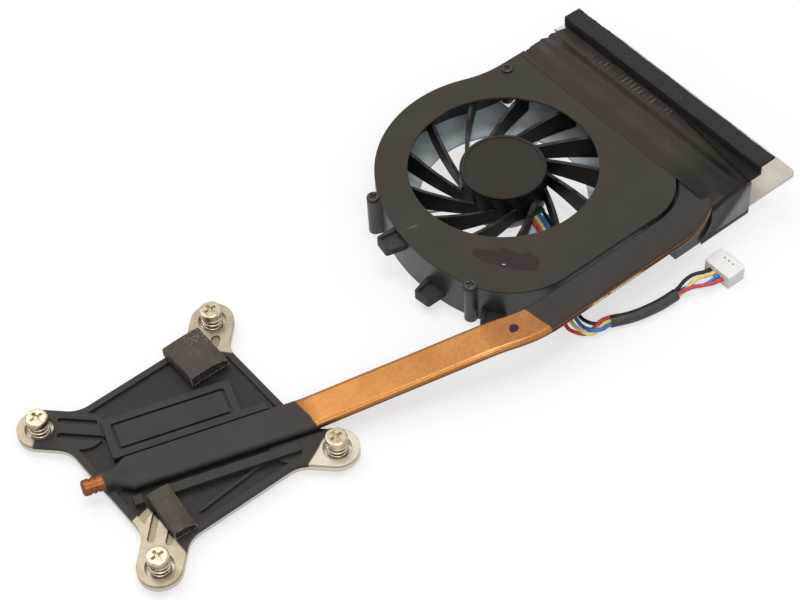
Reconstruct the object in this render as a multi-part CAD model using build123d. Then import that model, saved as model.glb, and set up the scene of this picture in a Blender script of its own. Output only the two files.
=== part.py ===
from build123d import *

import math
import os

# Laptop cooling module: a blower fan blows through a fin stack, and a flattened heat pipe carries
# heat to it from a sprung plate that is screwed down on the processor.
# Millimetres. The origin is the centre of the contact face on the processor, +X points along the
# module towards the fan, +Z points away from the circuit board.

# Clearances
FIT = 0.03              # radial play of a running or push fit
SEAT = 0.05             # play between parts that are only laid together

# Processor plate
SCREW_PITCH = 44.0      # side of the square on which the four screws stand
BLOCK_SIDE = 28.0       # contact block under the plate
BLOCK_THICK = 1.3
PLATE_SIDE = 40.4
PLATE_THICK = 2.0
PLATE_RIM = 1.5         # raised edge round the sunk field
FIELD_DEPTH = 0.6
ARM_WIDTH = 9.4
ARM_FILLET = 6.0
WELL_R = 3.0            # spring well at the end of each arm
WELL_FLOOR = 0.6
LAND_RISE = 1.0         # cast lands beside the pipe, above the plate
LAND_ENDS = (-15.6, 12.4)       # along the pipe, from the plate's centre
LAND_WIDTH = 10.4
SPUR_LENGTH = 5.2       # narrow spur in front of the far land
SPUR_WIDTH = 1.8
PANEL_MARGIN = 1.7      # from the far land's edge to the line sunk in it
PANEL_ROUND = 0.8
PANEL_LINE = 0.6
RAIL_ENDS = ((-14.6, -12.7), (-7.4, 20.6))      # near land, in two pieces
RAIL_WIDTH = 2.3
RAIL_GAP = 1.2
RAIL_DROP = 0.1
RIDGE = ((-8.2, -16.4), (9.2, -15.2), (12.4, -17.6))
RIDGE_WIDTH = 0.7
RIDGE_RISE = 0.5
GROOVE_WIDTH = 1.2
GROOVE_DEPTH = 0.6
# Grooves in each of the four arms: start, end and side, measured inwards from the arm's screw, and width
ARM_GROOVES = (((5.0, 6.6, 1.6, 2.0),), ((4.0, 11.2, 2.3, 1.2), (4.7, 13.3, -1.5, 1.2)), (),
               ((6.0, 12.0, 2.9, 1.5), (5.7, 11.5, -0.9, 1.5)))
LAND_GROOVE = ((16.4, 6.7), (16.4, 0.4))

# Captive screws
SHANK_R = 1.2
SHANK_PLAY = 0.25       # round the shank where it passes through the plate
HEAD_R = 2.35
HEAD_THICK = 1.7
HEAD_ROUND = 0.4
HEAD_RISE = 2.1         # underside of the head above the plate
CROSS_DEPTH = 0.8
CROSS_REACH = 1.4
CROSS_WIDTH = 0.7
SPRING_WIRE_R = 0.22
SPRING_TURNS = 3
RETAINER_R = 2.4
RETAINER_THICK = 0.5
RETAINER_GROOVE = 0.25  # depth of the ring's groove in the shank
TIP_LENGTH = 0.5        # threaded tip below the retaining ring

# Heat pipe
PIPE_WIDTH = 8.3
PIPE_THICK = 2.2
PIPE_ANGLE = -17.8      # direction over the plate, degrees from +X
PIPE_OFFSET = 4.6       # from the plate's centre to the pipe's axis
PIPE_SINK = 0.4         # depth of the pipe's bed in the plate
BED_PLAY = 0.4          # between the pipe's side and its bed
PIPE_GAP = 0.4          # air between the pipe and the fan cover
PIPE_DROP = 0.3         # top of the pipe below the face of the fan cover
PIPE_INSET = 1.05       # from the front of the fins to the pipe
RAMP_START = 25.0       # along the pipe, from the point nearest the plate's centre
RAMP_END = 9.1          # before the corner where the pipe turns along the fan
RAMP_RADIUS = 30.0
SIDE_BEND_RADIUS = 30.0
END_BEND_RADIUS = 17.9
FLAT_END = 13.5         # where the flat pipe ends, behind the plate's centre
NECK_LENGTH = 3.5
NECK_R = 2.0
NECK_RUN = 2.25
TIP_R = 1.75
TIP_RUN = 4.4
TIP_ROUND = 0.8
CRIMPS = (1.1, 2.2)     # rings pressed into the tip, from its root
CRIMP_WIDTH = 0.45
CRIMP_DEPTH = 0.2
PIPE_STOP = 2.0         # the pipe's far end, short of the last fin

# Fan
FAN_X = 94.4
FAN_Y = 10.6
FAN_HEIGHT = 10.45
COVER_THICK = 0.5
BASE_THICK = 0.6
WALL = 1.4
REBATE = 0.7            # part of the wall that covers the base plate's edge
INLET_R = 21.3
INTAKE_R = 19.0         # opening in the base plate
SCROLL_R = 28.7
SCROLL_END = 150.0      # where the round part of the wall opens out, degrees
CORNER_START = 200.0    # where the wall turns along the pipe, degrees
CORNER_R = 18.0
NECK_REACH = -4.0       # far side of the outlet, past the round wall
NECK_CURVE_R = 26.0
PIPE_SIDE_REACH = 4.7   # wall beside the pipe, past the round wall
OUTLET_REACH = -1.2     # outlet, past the round wall
BOSS_R = 1.5
NECK_BOSS_INSET = 2.1   # from the far side of the outlet to its screw
SIDE_BOSS = (155.4, 1.3)        # turn round the wall's arc in degrees, distance outside the wall
CORNER_BOSS = (201.4, 0.2)
COVER_SCREW_R = 0.75
COVER_SCREW_LENGTH = 5.0
COVER_SCREW_PLAY = 0.3  # round a screw where it passes through the cover
COVER_HEAD_R = 1.4
COVER_HEAD_THICK = 0.55
COVER_HEAD_ROUND = 0.25
COVER_SLOT_LENGTH = 1.7
COVER_SLOT_WIDTH = 0.4
COVER_SLOT_DEPTH = 0.35
WIRE_SLOT_X = -10.9     # middle of the slot that lets the wires out, from the fan's axis
WIRE_SLOT_WIDTH = 7.6
WIRE_SLOT_HEIGHT = 2.2

# Low duct that carries air under the pipe to the near end of the fins
DUCT_LENGTH = 9.8
DUCT_WIDTH = 5.4
DUCT_ROOF = 0.8
DUCT_GAP = 1.4          # between the duct's end and the outlet

# Rubber mounts: two on the wall's side and one at its corner, each by its turn round the wall's arc in
# degrees and the height of its underside
SIDE_MOUNTS = ((171.4, 7.6), (187.8, 2.2))
CORNER_MOUNT = (217.9, 2.0)
MOUNT_REACH = 4.6
MOUNT_ROOT = 5.8        # width at the wall
MOUNT_WIDTH = 4.2       # width at the outer end
MOUNT_HEIGHT = 2.3
MOUNT_LIP = 0.6
MOUNT_FLOOR = 0.5       # rubber under the tab
TAB_WIDTH = 2.4
TAB_THICK = 0.8

# Impeller and motor
HUB_R = 9.8
HUB_WALL = 0.9
HUB_TOP_GAP = 0.1       # below the face of the cover
HUB_ROOF = 1.0
HUB_BOTTOM = 2.9
HUB_ROUND = 0.7
DISH_R = 8.7
DISH_DEPTH = 0.15
BLADES = 13
BLADE_TIP_GAP = 1.7     # between the blades and the round wall
BLADE_BEND_R = 15.0     # radius at which a blade's bend is given
BLADE_BEND = -28.0      # degrees from its root to that radius
BLADE_SWEEP = -46.0     # degrees from its root to its tip
BLADE_THICK = 0.8
BLADE_TOP_GAP = 1.05    # between the blades and the cover
BLADE_ROOT_DROP = 2.6   # the blades slope down by this much towards the hub
BLADE_SLOPE_R = 21.0    # radius at which the slope starts
BLADE_PHASE = 27.4
YOKE_THICK = 0.7
YOKE_INSET = 0.3        # from the hub's lower edge
MAGNET_THICK = 0.9
MAGNET_INSET = 0.5      # from the hub's lower edge and from its roof
AIR_GAP = 0.3
SHAFT_R = 0.9
HUB_BOSS_R = 2.2
HUB_BOSS_DROP = 1.3
HOLDER_R = 3.0
HOLDER_BORE_R = 2.0
HOLDER_GAP = 0.6        # between the bearing holder and the hub's boss
PAD_THICK = 0.5
SLEEVE_LIFT = 0.3       # of the bearing sleeve over the thrust pad
SLEEVE_INSET = 0.2      # from the holder's mouth
STATOR_BOTTOM = 3.5
STATOR_TOP = 6.6
STATOR_RING_R = 4.2
POLE_WIDTH = 2.0
POLE_SHOE = 0.8
POLE_SPAN = 68.0
COIL_THICK = 0.6
COIL_GAP = 0.1          # between a coil and the core's ring
BOARD_THICK = 0.6
BOARD_R = 8.6
SEAT_R = 9.5            # disc of the base plate that carries the motor
SPOKE_WIDTH = 3.4
WIRE_SPOKE_WIDTH = 6.4
TONGUE_WIDTH = 5.0      # tongue of the board where the wires are soldered
TONGUE_X = 1.4          # from the fan's axis
TONGUE_REACH = 9.7

# Fin stack, film and foam
FIN_GAP = 0.3           # between the outlet and the fins
FIN_DEPTH = 12.8
FIN_NEAR = 5.5          # low fins reach this far past the wall beside the pipe
FIN_FAR = 0.4           # and stop this far short of the outlet's far side
FIN_THICK = 0.25
FIN_COUNT = 49
FIN_SKIN = 0.3
FILM_THICK = 0.15
FILM_LAP = 1.5          # of the film on the fan cover
FILM_WRAP = 11.0        # width of the part folded down
FILM_HEM = 0.9          # height of the film's lower edge
FILM_GAP = 0.3          # between the fins and the part folded down
FOAM_WIDTH = 4.6
FOAM_HEIGHT = 2.9
FOAM_SHEET = 0.6        # thickness of the folded foam
FOAM_FOOT = 3.7         # width of its foot at the near end
FOAM_FOOT_RUN = 27.0    # over which the foot narrows
FOAM_ROUND = 0.25
LIP = 13.9              # free edge of the base plate behind the fins
LIP_ROUND = 1.6

# Foam pads on the plate: middle, turn in degrees, width, length
PADS = {"foam_pad_far": (13.0, 15.4, 0.0, 9.6, 10.8), "foam_pad_near": (-13.5, -14.0, -3.0, 4.8, 12.4)}
PAD_HEIGHT = 2.3

# Wires and their sleeve; the routes are worked out further down
WIRE_D = 0.85
WIRE_LIFT = 0.02        # air under a wire that lies on something
SLEEVE_D = 2.66
SLEEVE_WALL = 0.18
ARC_SHARE = 0.45        # share of the shorter run that an arc of a route may take

# Connector
PLUG_X = 19.0           # back of the connector and middle of its ways, from the fan's axis
PLUG_Y = -48.65
PLUG_DEPTH = 4.9
PLUG_WIDTH = 7.4
PLUG_HEIGHT = 3.4
PLUG_ROUND = 0.3
NOSE_WIDTH = 4.8        # nose at the front
NOSE_REACH = 0.6
NOSE_ROOT = 1.4
NOSE_INSET = 0.45       # below and above the nose
PLUG_PITCH = 1.24
PLUG_BORE_R = 0.5
PLUG_BORE_Z = 1.7
PLUG_BORE_DEPTH = 1.4
TERMINAL_SIDE = 0.8
TERMINAL_LENGTH = 2.2
TERMINAL_SETBACK = 0.2
WIRE_SETBACK = 0.4      # from the wire's end to its terminal

# Places worked out from the sizes above
plate_bottom = BLOCK_THICK
plate_top = plate_bottom + PLATE_THICK
screw_half = SCREW_PITCH / 2
screw_places = [(x, y) for y in (screw_half, -screw_half) for x in (screw_half, -screw_half)]
cover_bottom = FAN_HEIGHT - COVER_THICK
hub_top = FAN_HEIGHT - HUB_TOP_GAP
fan_at = Pos(FAN_X, FAN_Y, 0)
pipe_frame = Rot(0, 0, PIPE_ANGLE)
neck_y = FAN_Y + SCROLL_R + NECK_REACH
pipe_side_y = FAN_Y - SCROLL_R - PIPE_SIDE_REACH
outlet_x = FAN_X + SCROLL_R + OUTLET_REACH
fin_x0 = outlet_x + FIN_GAP
fin_x1 = fin_x0 + FIN_DEPTH
fin_y0 = pipe_side_y - FIN_NEAR
fin_y1 = neck_y - FIN_FAR
pipe_low_z = plate_top - PIPE_SINK + PIPE_THICK / 2
pipe_high_z = FAN_HEIGHT - PIPE_DROP - PIPE_THICK / 2
pipe_fan_y = pipe_side_y - PIPE_GAP - PIPE_WIDTH / 2
bend_centre_y = pipe_fan_y + END_BEND_RADIUS
fin_run_x = fin_x0 + PIPE_INSET + PIPE_WIDTH / 2
bend_start_x = fin_run_x - END_BEND_RADIUS
pipe_under = pipe_high_z - PIPE_THICK / 2


def block(x0, x1, y0, y1, z0, z1):
    """A box between two corners."""
    return Pos((x0 + x1) / 2, (y0 + y1) / 2, (z0 + z1) / 2) * Box(x1 - x0, y1 - y0, z1 - z0)


def rod(radius, z0, z1):
    """An upright round bar on the Z axis."""
    return Pos(0, 0, (z0 + z1) / 2) * Cylinder(radius, z1 - z0)


def ring(outer, inner, z0, z1):
    """An upright tube on the Z axis."""
    return rod(outer, z0, z1) - rod(inner, z0, z1)


def slab(face, z0, z1):
    """A flat face made into a plate between two heights."""
    return Pos(0, 0, z0) * extrude(face, z1 - z0, dir=(0, 0, 1))


def groove(start, end, width, z0, z1):
    """A round-ended bar between two points in plan, used to cut grooves and to raise ribs."""
    run = Vector(*end) - Vector(*start)
    middle = (Vector(*end) + Vector(*start)) * 0.5
    turn = math.degrees(math.atan2(run.Y, run.X))
    outline = Pos(middle.X, middle.Y) * Rot(0, 0, turn) * SlotOverall(run.length + width, width)
    return slab(outline, z0, z1)


def route_wire(points, name):
    """A route as straight runs joined by tangent arcs, each as large as its two runs allow."""
    spots = [Vector(*p) for p in points]
    radii = []
    for before, here, after in zip(spots, spots[1:], spots[2:]):
        turn = math.radians((here - before).get_angle(after - here))
        shorter = min((here - before).length, (after - here).length)
        radii.append(ARC_SHARE * shorter / math.tan(turn / 2))
    path = FilletPolyline(*spots, radius=radii)
    print(name, "length", round(path.length, 1), "radii", [round(r, 1) for r in radii])
    return path


def tube(path, outer, inner=0.0):
    """A round tube, or a solid wire, along a route."""
    start = Plane(origin=path @ 0, z_dir=path % 0)
    solid = sweep(start * Circle(outer), path)
    if inner:
        solid -= sweep(start * Circle(inner), path)
    return solid


# Contact block that sits on the processor, soldered under the plate
contact_block = block(-BLOCK_SIDE / 2, BLOCK_SIDE / 2, -BLOCK_SIDE / 2, BLOCK_SIDE / 2, 0, BLOCK_THICK)
contact_block = chamfer(contact_block.edges().filter_by(Axis.Z), 1.0)

# Processor plate: a cast square with four arms, a sunk field, and lands either side of the pipe's bed
square = Rectangle(PLATE_SIDE, PLATE_SIDE)
arms = Sketch()
for x, y in screw_places:
    turn = math.degrees(math.atan2(y, x))
    arms += Pos(x, y) * Rot(0, 0, turn) * Pos(-ARM_WIDTH / 2, 0) * SlotOverall(2 * ARM_WIDTH, ARM_WIDTH)
plate_outline = square + arms
inner_corners = [v for v in plate_outline.vertices()
                 if abs(max(abs(v.X), abs(v.Y)) - PLATE_SIDE / 2) < 1e-3]
plate_outline = fillet(inner_corners, ARM_FILLET)
cpu_plate = slab(plate_outline, plate_bottom, plate_top)
field_side = PLATE_SIDE - 2 * PLATE_RIM
field = Rectangle(field_side, field_side) - arms
cpu_plate -= slab(field, plate_top - FIELD_DEPTH, plate_top)

land_top = plate_top + LAND_RISE
field_floor = plate_top - FIELD_DEPTH
bed_near = -PIPE_OFFSET - PIPE_WIDTH / 2 - BED_PLAY
bed_far = -PIPE_OFFSET + PIPE_WIDTH / 2 + BED_PLAY
land_back, land_front = LAND_ENDS
land_far = bed_far + LAND_WIDTH
rail_far = bed_near - RAIL_GAP
lands = block(land_back, land_front, bed_far, land_far, field_floor, land_top)
lands += block(land_front, land_front + SPUR_LENGTH, bed_far, bed_far + SPUR_WIDTH, field_floor, land_top)
for start, end in RAIL_ENDS:
    lands += block(start, end, rail_far - RAIL_WIDTH, rail_far, field_floor, land_top - RAIL_DROP)
panel = Pos((land_back + land_front) / 2, (bed_far + land_far) / 2) * RectangleRounded(
    land_front - land_back - 2 * PANEL_MARGIN, LAND_WIDTH - 2 * PANEL_MARGIN, PANEL_ROUND)
panel_line = panel - offset(panel, -PANEL_LINE)
lands -= slab(panel_line, land_top - GROOVE_DEPTH, land_top)
lands = pipe_frame * lands
cpu_plate += lands & slab(square, plate_bottom, land_top)
for start, end in zip(RIDGE, RIDGE[1:]):
    cpu_plate += groove(start, end, RIDGE_WIDTH, field_floor, field_floor + RIDGE_RISE)

over_lands = land_top + LAND_RISE
bed = block(-FLAT_END - BED_PLAY, PLATE_SIDE, bed_near, bed_far, plate_top - PIPE_SINK, over_lands)
neck_bed = NECK_R + BED_PLAY
bed += block(-PLATE_SIDE, -FLAT_END, -PIPE_OFFSET - neck_bed, -PIPE_OFFSET + neck_bed,
             pipe_low_z - NECK_R - SEAT, over_lands)
cpu_plate -= pipe_frame * bed
groove_floor = plate_top - GROOVE_DEPTH
for (x, y), cuts in zip(screw_places, ARM_GROOVES):
    inwards = math.degrees(math.atan2(-y, -x))
    for start, end, side, width in cuts:
        cut = groove((start, side), (end, side), width, groove_floor, over_lands)
        cpu_plate -= Pos(x, y) * Rot(0, 0, inwards) * cut
cpu_plate -= groove(*LAND_GROOVE, GROOVE_WIDTH, groove_floor, over_lands)
for x, y in screw_places:
    cpu_plate -= Pos(x, y) * rod(WELL_R, plate_bottom + WELL_FLOOR, land_top)
    cpu_plate -= Pos(x, y) * rod(SHANK_R + SHANK_PLAY, 0, plate_top)

# Captive screws, each with its spring in the well and its retaining ring under the plate
head_under = plate_top + HEAD_RISE
head_top = head_under + HEAD_THICK
retainer_top = plate_bottom - SEAT
retainer_under = retainer_top - RETAINER_THICK
groove_r = SHANK_R - RETAINER_GROOVE
captive_screw = rod(HEAD_R, head_under, head_top)
captive_screw = fillet(captive_screw.edges().group_by(Axis.Z)[-1], HEAD_ROUND)
captive_screw += rod(SHANK_R, retainer_top + FIT, head_under)
captive_screw += rod(groove_r, retainer_under - FIT, retainer_top + FIT)
captive_screw += rod(SHANK_R - SEAT, retainer_under - FIT - TIP_LENGTH, retainer_under - FIT)
for turn in (0, 90):
    slot = Box(2 * CROSS_REACH, CROSS_WIDTH, 2 * CROSS_DEPTH)
    captive_screw -= Pos(0, 0, head_top) * Rot(0, 0, turn) * slot

retainer = ring(RETAINER_R, groove_r + FIT, retainer_under, retainer_top)
mouth = groove_r - RETAINER_GROOVE
retainer -= block(0, 2 * RETAINER_R, -mouth, mouth, retainer_under, retainer_top)

spring_bottom = plate_bottom + WELL_FLOOR + SEAT + SPRING_WIRE_R
spring_rise = head_under - SEAT - SPRING_WIRE_R - spring_bottom
spring_r = (SHANK_R + WELL_R) / 2
coil = Pos(0, 0, spring_bottom) * Helix(spring_rise / SPRING_TURNS, spring_rise, spring_r)
spring = sweep(Plane(origin=coil @ 0, z_dir=coil % 0) * Circle(SPRING_WIRE_R), coil, is_frenet=True)

# Foam pads: soft strips with round sides that lie on the plate
pads = {}
for name, (x, y, turn, width, length) in PADS.items():
    profile = Plane.XZ * SlotOverall(width, PAD_HEIGHT)
    strip = Pos(0, length / 2, 0) * extrude(profile, length, dir=(0, -1, 0))
    pads[name] = Pos(x, y, plate_top + PAD_HEIGHT / 2) * Rot(0, 0, turn) * strip

# Heat pipe: flat from the plate to the fins, with a round neck and a pinched tip behind the plate
along = Vector(math.cos(math.radians(PIPE_ANGLE)), math.sin(math.radians(PIPE_ANGLE)), 0)
across = Vector(-along.Y, along.X, 0)
nearest = across * -PIPE_OFFSET
corner_run = (pipe_fan_y - nearest.Y) / along.Y


def on_pipe(run, height):
    """A point on the pipe's axis over the plate, by its distance along the pipe."""
    spot = nearest + along * run
    return Vector(spot.X, spot.Y, height)


pipe_corners = [on_pipe(-FLAT_END, pipe_low_z), on_pipe(RAMP_START, pipe_low_z),
                on_pipe(corner_run - RAMP_END, pipe_high_z), on_pipe(corner_run, pipe_high_z),
                Vector(fin_run_x, pipe_fan_y, pipe_high_z),
                Vector(fin_run_x, fin_y1 - PIPE_STOP, pipe_high_z)]
pipe_path = FilletPolyline(*pipe_corners,
                           radius=[RAMP_RADIUS, RAMP_RADIUS, SIDE_BEND_RADIUS, END_BEND_RADIUS])
flat_start = Plane(origin=pipe_path @ 0, x_dir=across, z_dir=along)
heat_pipe = sweep(flat_start * SlotOverall(PIPE_WIDTH, PIPE_THICK), pipe_path, binormal=(0, 0, 1))
neck_start = flat_start.offset(-NECK_LENGTH)
heat_pipe += loft([flat_start * SlotOverall(PIPE_WIDTH, PIPE_THICK), neck_start * Circle(NECK_R)])
heat_pipe += extrude(neck_start * Circle(NECK_R), -NECK_RUN)
tip_start = neck_start.offset(-NECK_RUN)
tip = extrude(tip_start * Circle(TIP_R), -TIP_RUN)
heat_pipe += fillet(tip.edges().sort_by(Axis.X)[0], TIP_ROUND)
for run in CRIMPS:
    crimp = tip_start.offset(-run) * (Circle(TIP_R + CRIMP_DEPTH) - Circle(TIP_R - CRIMP_DEPTH))
    heat_pipe -= extrude(crimp, -CRIMP_WIDTH)

# Fan outline: outlet neck, round wall, widening scroll, and the side that follows the pipe
neck_lift = neck_y + NECK_CURVE_R
neck_x = FAN_X + math.sqrt((SCROLL_R + NECK_CURVE_R) ** 2 - (neck_lift - FAN_Y) ** 2)
neck_turn = math.degrees(math.atan2(neck_lift - FAN_Y, neck_x - FAN_X))
end_sin, end_cos = math.sin(math.radians(SCROLL_END)), math.cos(math.radians(SCROLL_END))
corner_sin = math.sin(math.radians(CORNER_START))
corner_cos = math.cos(math.radians(CORNER_START))
side_r = ((FAN_Y + SCROLL_R * end_sin - CORNER_R * corner_sin - CORNER_R - pipe_side_y)
          / (end_sin - corner_sin))
side_x = FAN_X + (SCROLL_R - side_r) * end_cos
side_y = FAN_Y + (SCROLL_R - side_r) * end_sin
corner_x = side_x + (side_r - CORNER_R) * corner_cos
corner_y = side_y + (side_r - CORNER_R) * corner_sin
inner_bend_r = END_BEND_RADIUS - PIPE_WIDTH / 2 - PIPE_GAP
bend_turn = math.degrees(math.acos((outlet_x - bend_start_x) / inner_bend_r))
bend_end_y = bend_centre_y - inner_bend_r * math.sin(math.radians(bend_turn))
fan_outline = make_face([
    Line((outlet_x, neck_y), (neck_x, neck_y)),
    CenterArc((neck_x, neck_lift), NECK_CURVE_R, 270, neck_turn - 90),
    CenterArc((FAN_X, FAN_Y), SCROLL_R, neck_turn, SCROLL_END - neck_turn),
    CenterArc((side_x, side_y), side_r, SCROLL_END, CORNER_START - SCROLL_END),
    CenterArc((corner_x, corner_y), CORNER_R, CORNER_START, 270 - CORNER_START),
    Line((corner_x, pipe_side_y), (bend_start_x, pipe_side_y)),
    CenterArc((bend_start_x, bend_centre_y), inner_bend_r, 270, 90 - bend_turn),
    Line((outlet_x, bend_end_y), (outlet_x, neck_y))])
fan_inside = offset(fan_outline, -WALL)


def on_arc(x, y, radius, turn):
    """A place on an arc of the wall, facing outwards."""
    return Pos(x, y) * Rot(0, 0, turn) * Pos(radius, 0)


side_turn, side_out = SIDE_BOSS
corner_turn, corner_out = CORNER_BOSS
cover_screw_places = [
    Pos(neck_x, neck_y - NECK_BOSS_INSET) * Rot(0, 0, 90),
    on_arc(side_x, side_y, side_r + side_out, side_turn),
    on_arc(corner_x, corner_y, CORNER_R + corner_out, corner_turn)]
boss_outline = Pos(-BOSS_R / 2, 0) * SlotOverall(3 * BOSS_R, 2 * BOSS_R)

# Base plate: bare sheet under the fan and the fins, with spokes to the motor and a lip at the back
base_outline = offset(fan_outline, -REBATE - SEAT)
lip_x = fin_x1 + LIP
lip_root = outlet_x - WALL
lip_middle = Pos((lip_root + lip_x) / 2, (fin_y0 + fin_y1) / 2)
base_outline += lip_middle * Rectangle(lip_x - lip_root, fin_y1 - fin_y0 - 2 * REBATE - 2 * SEAT)
base_outline = fillet(base_outline.vertices().group_by(Axis.X)[-1], LIP_ROUND)
duct_x1 = outlet_x - DUCT_GAP
duct_x0 = duct_x1 - DUCT_LENGTH
duct_y = pipe_side_y - DUCT_WIDTH
base_plate = slab(base_outline, 0, BASE_THICK)
base_plate += block(duct_x0 + REBATE + SEAT, duct_x1, duct_y + REBATE + SEAT, pipe_side_y + WALL,
                    0, BASE_THICK)
intake = ring(INTAKE_R, SEAT_R, 0, BASE_THICK)
for turn in (30, 150):
    intake -= Rot(0, 0, turn) * block(0, INTAKE_R, -SPOKE_WIDTH / 2, SPOKE_WIDTH / 2, 0, BASE_THICK)
base_plate -= fan_at * intake
wire_turn = math.degrees(math.atan2(pipe_side_y - FAN_Y + TONGUE_REACH, WIRE_SLOT_X - TONGUE_X))
wire_run = block(0, INTAKE_R, -WIRE_SPOKE_WIDTH / 2, WIRE_SPOKE_WIDTH / 2, 0, BASE_THICK)
base_plate += fan_at * Pos(TONGUE_X, -TONGUE_REACH) * Rot(0, 0, wire_turn) * wire_run
for place in cover_screw_places:
    base_plate -= place * slab(offset(boss_outline, SEAT), 0, BASE_THICK)

# Fan housing: moulded scroll wall with screw bosses, tabs, wire slot and the low duct under the pipe
fan_housing = slab(fan_outline - fan_inside, 0, cover_bottom)
duct_top = pipe_under - SEAT
low_duct = block(duct_x0, duct_x1, duct_y, bend_end_y, 0, duct_top)
fan_housing += low_duct - slab(fan_inside, 0, cover_bottom)
for place in cover_screw_places:
    fan_housing += place * rod(BOSS_R, 0, cover_bottom)
    fan_housing += place * slab(boss_outline, 0, cover_bottom) - slab(fan_inside, 0, cover_bottom)
fan_housing -= block(duct_x0 + WALL, outlet_x, duct_y + WALL, bend_end_y, 0, duct_top - DUCT_ROOF)
fan_housing -= block(outlet_x - WALL - SEAT, outlet_x, bend_end_y, neck_y - WALL, 0, cover_bottom)
fan_housing -= slab(offset(fan_outline, -REBATE), 0, BASE_THICK)
fan_housing -= block(duct_x0 + REBATE, outlet_x, duct_y + REBATE, bend_end_y, 0, BASE_THICK)
fan_housing -= block(outlet_x - WALL, outlet_x, bend_end_y, neck_y - REBATE, 0, BASE_THICK)
slot_x = FAN_X + WIRE_SLOT_X
fan_housing -= block(slot_x - WIRE_SLOT_WIDTH / 2, slot_x + WIRE_SLOT_WIDTH / 2,
                     pipe_side_y - WALL, pipe_side_y + 3 * WALL, 0, WIRE_SLOT_HEIGHT)

# Rubber mounts, each pushed on a tab of the housing
wall_outside = slab(offset(fan_outline, SEAT), 0, FAN_HEIGHT)
for place in cover_screw_places:
    wall_outside += place * slab(offset(boss_outline, SEAT), 0, FAN_HEIGHT)
mount_places = [on_arc(side_x, side_y, side_r, turn) * Pos(0, 0, under) for turn, under in SIDE_MOUNTS]
turn, under = CORNER_MOUNT
mount_places.append(on_arc(corner_x, corner_y, CORNER_R, turn) * Pos(0, 0, under))
mount_outline = make_face(Polyline(
    (-WALL, MOUNT_ROOT / 2), (MOUNT_REACH, MOUNT_WIDTH / 2), (MOUNT_REACH, -MOUNT_WIDTH / 2),
    (-WALL, -MOUNT_ROOT / 2), close=True))
mount_outline = fillet(mount_outline.vertices().group_by(Axis.X)[-1], MOUNT_LIP)
pocket_x = MOUNT_REACH - MOUNT_LIP
mount = slab(mount_outline, 0, MOUNT_HEIGHT)
mount -= block(-WALL, pocket_x, MOUNT_LIP - MOUNT_WIDTH / 2, MOUNT_ROOT,
               MOUNT_HEIGHT - MOUNT_LIP, MOUNT_HEIGHT)
mount -= block(-WALL, pocket_x + SEAT, -TAB_WIDTH / 2 - SEAT, TAB_WIDTH / 2 + SEAT,
               MOUNT_FLOOR - SEAT, MOUNT_FLOOR + TAB_THICK + SEAT)
tab = block(-WALL / 2, pocket_x, -TAB_WIDTH / 2, TAB_WIDTH / 2, MOUNT_FLOOR, MOUNT_FLOOR + TAB_THICK)
rubber_mounts = []
for place in mount_places:
    rubber_mounts.append(place * mount - wall_outside)
    fan_housing += place * tab
screw_bore = rod(COVER_SCREW_R + FIT, cover_bottom - COVER_SCREW_LENGTH, cover_bottom)
for place in cover_screw_places:
    fan_housing -= place * screw_bore

# Fan cover: thin painted sheet with the round inlet, held by three screws
cover_outline = fan_outline
for place in cover_screw_places:
    cover_outline += place * boss_outline
cover_outline -= Pos(FAN_X, FAN_Y) * Circle(INLET_R)
for place in cover_screw_places:
    cover_outline -= place * Circle(COVER_SCREW_R + COVER_SCREW_PLAY)
fan_cover = slab(cover_outline, cover_bottom, FAN_HEIGHT)

cover_screw = rod(COVER_HEAD_R, FAN_HEIGHT, FAN_HEIGHT + COVER_HEAD_THICK)
cover_screw = fillet(cover_screw.edges().group_by(Axis.Z)[-1], COVER_HEAD_ROUND)
cover_screw += rod(COVER_SCREW_R, cover_bottom - COVER_SCREW_LENGTH + SEAT, FAN_HEIGHT)
for turn in (20, 110):
    slot = Box(COVER_SLOT_LENGTH, COVER_SLOT_WIDTH, 2 * COVER_SLOT_DEPTH)
    cover_screw -= Pos(0, 0, FAN_HEIGHT + COVER_HEAD_THICK) * Rot(0, 0, turn) * slot
cover_screws = [place * cover_screw for place in cover_screw_places]

# Impeller: hub cup with a dished roof, and swept blades whose tops slope down to the hub
hub_inner = HUB_R - HUB_WALL
roof_under = hub_top - HUB_ROOF
hub = fillet(rod(HUB_R, HUB_BOTTOM, hub_top).edges().group_by(Axis.Z)[-1], HUB_ROUND)
blade_tip_r = SCROLL_R - WALL - BLADE_TIP_GAP
blade_top = cover_bottom - BLADE_TOP_GAP
blade_line = ThreePointArc(
    Vector(HUB_R - HUB_WALL / 2, 0),
    Vector(BLADE_BEND_R, 0).rotate(Axis.Z, BLADE_BEND),
    Vector(blade_tip_r, 0).rotate(Axis.Z, BLADE_SWEEP))
blade_room = revolve(Plane.XZ * make_face(Polyline(
    (0, HUB_BOTTOM), (blade_tip_r + WALL, HUB_BOTTOM), (blade_tip_r + WALL, blade_top),
    (BLADE_SLOPE_R, blade_top), (HUB_R, blade_top - BLADE_ROOT_DROP),
    (0, blade_top - BLADE_ROOT_DROP), close=True)), Axis.Z)
blade = slab(trace(blade_line, BLADE_THICK), HUB_BOTTOM, blade_top) & blade_room
impeller = hub
for number in range(BLADES):
    impeller += Rot(0, 0, BLADE_PHASE + 360 / BLADES * number) * blade
impeller -= rod(hub_inner, HUB_BOTTOM, roof_under)
impeller -= rod(DISH_R, hub_top - DISH_DEPTH, hub_top)
boss_under = roof_under - HUB_BOSS_DROP
impeller += rod(HUB_BOSS_R, boss_under, roof_under)
shaft_top = hub_top - HUB_ROOF / 2
impeller -= rod(SHAFT_R + FIT, boss_under, shaft_top)

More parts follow.
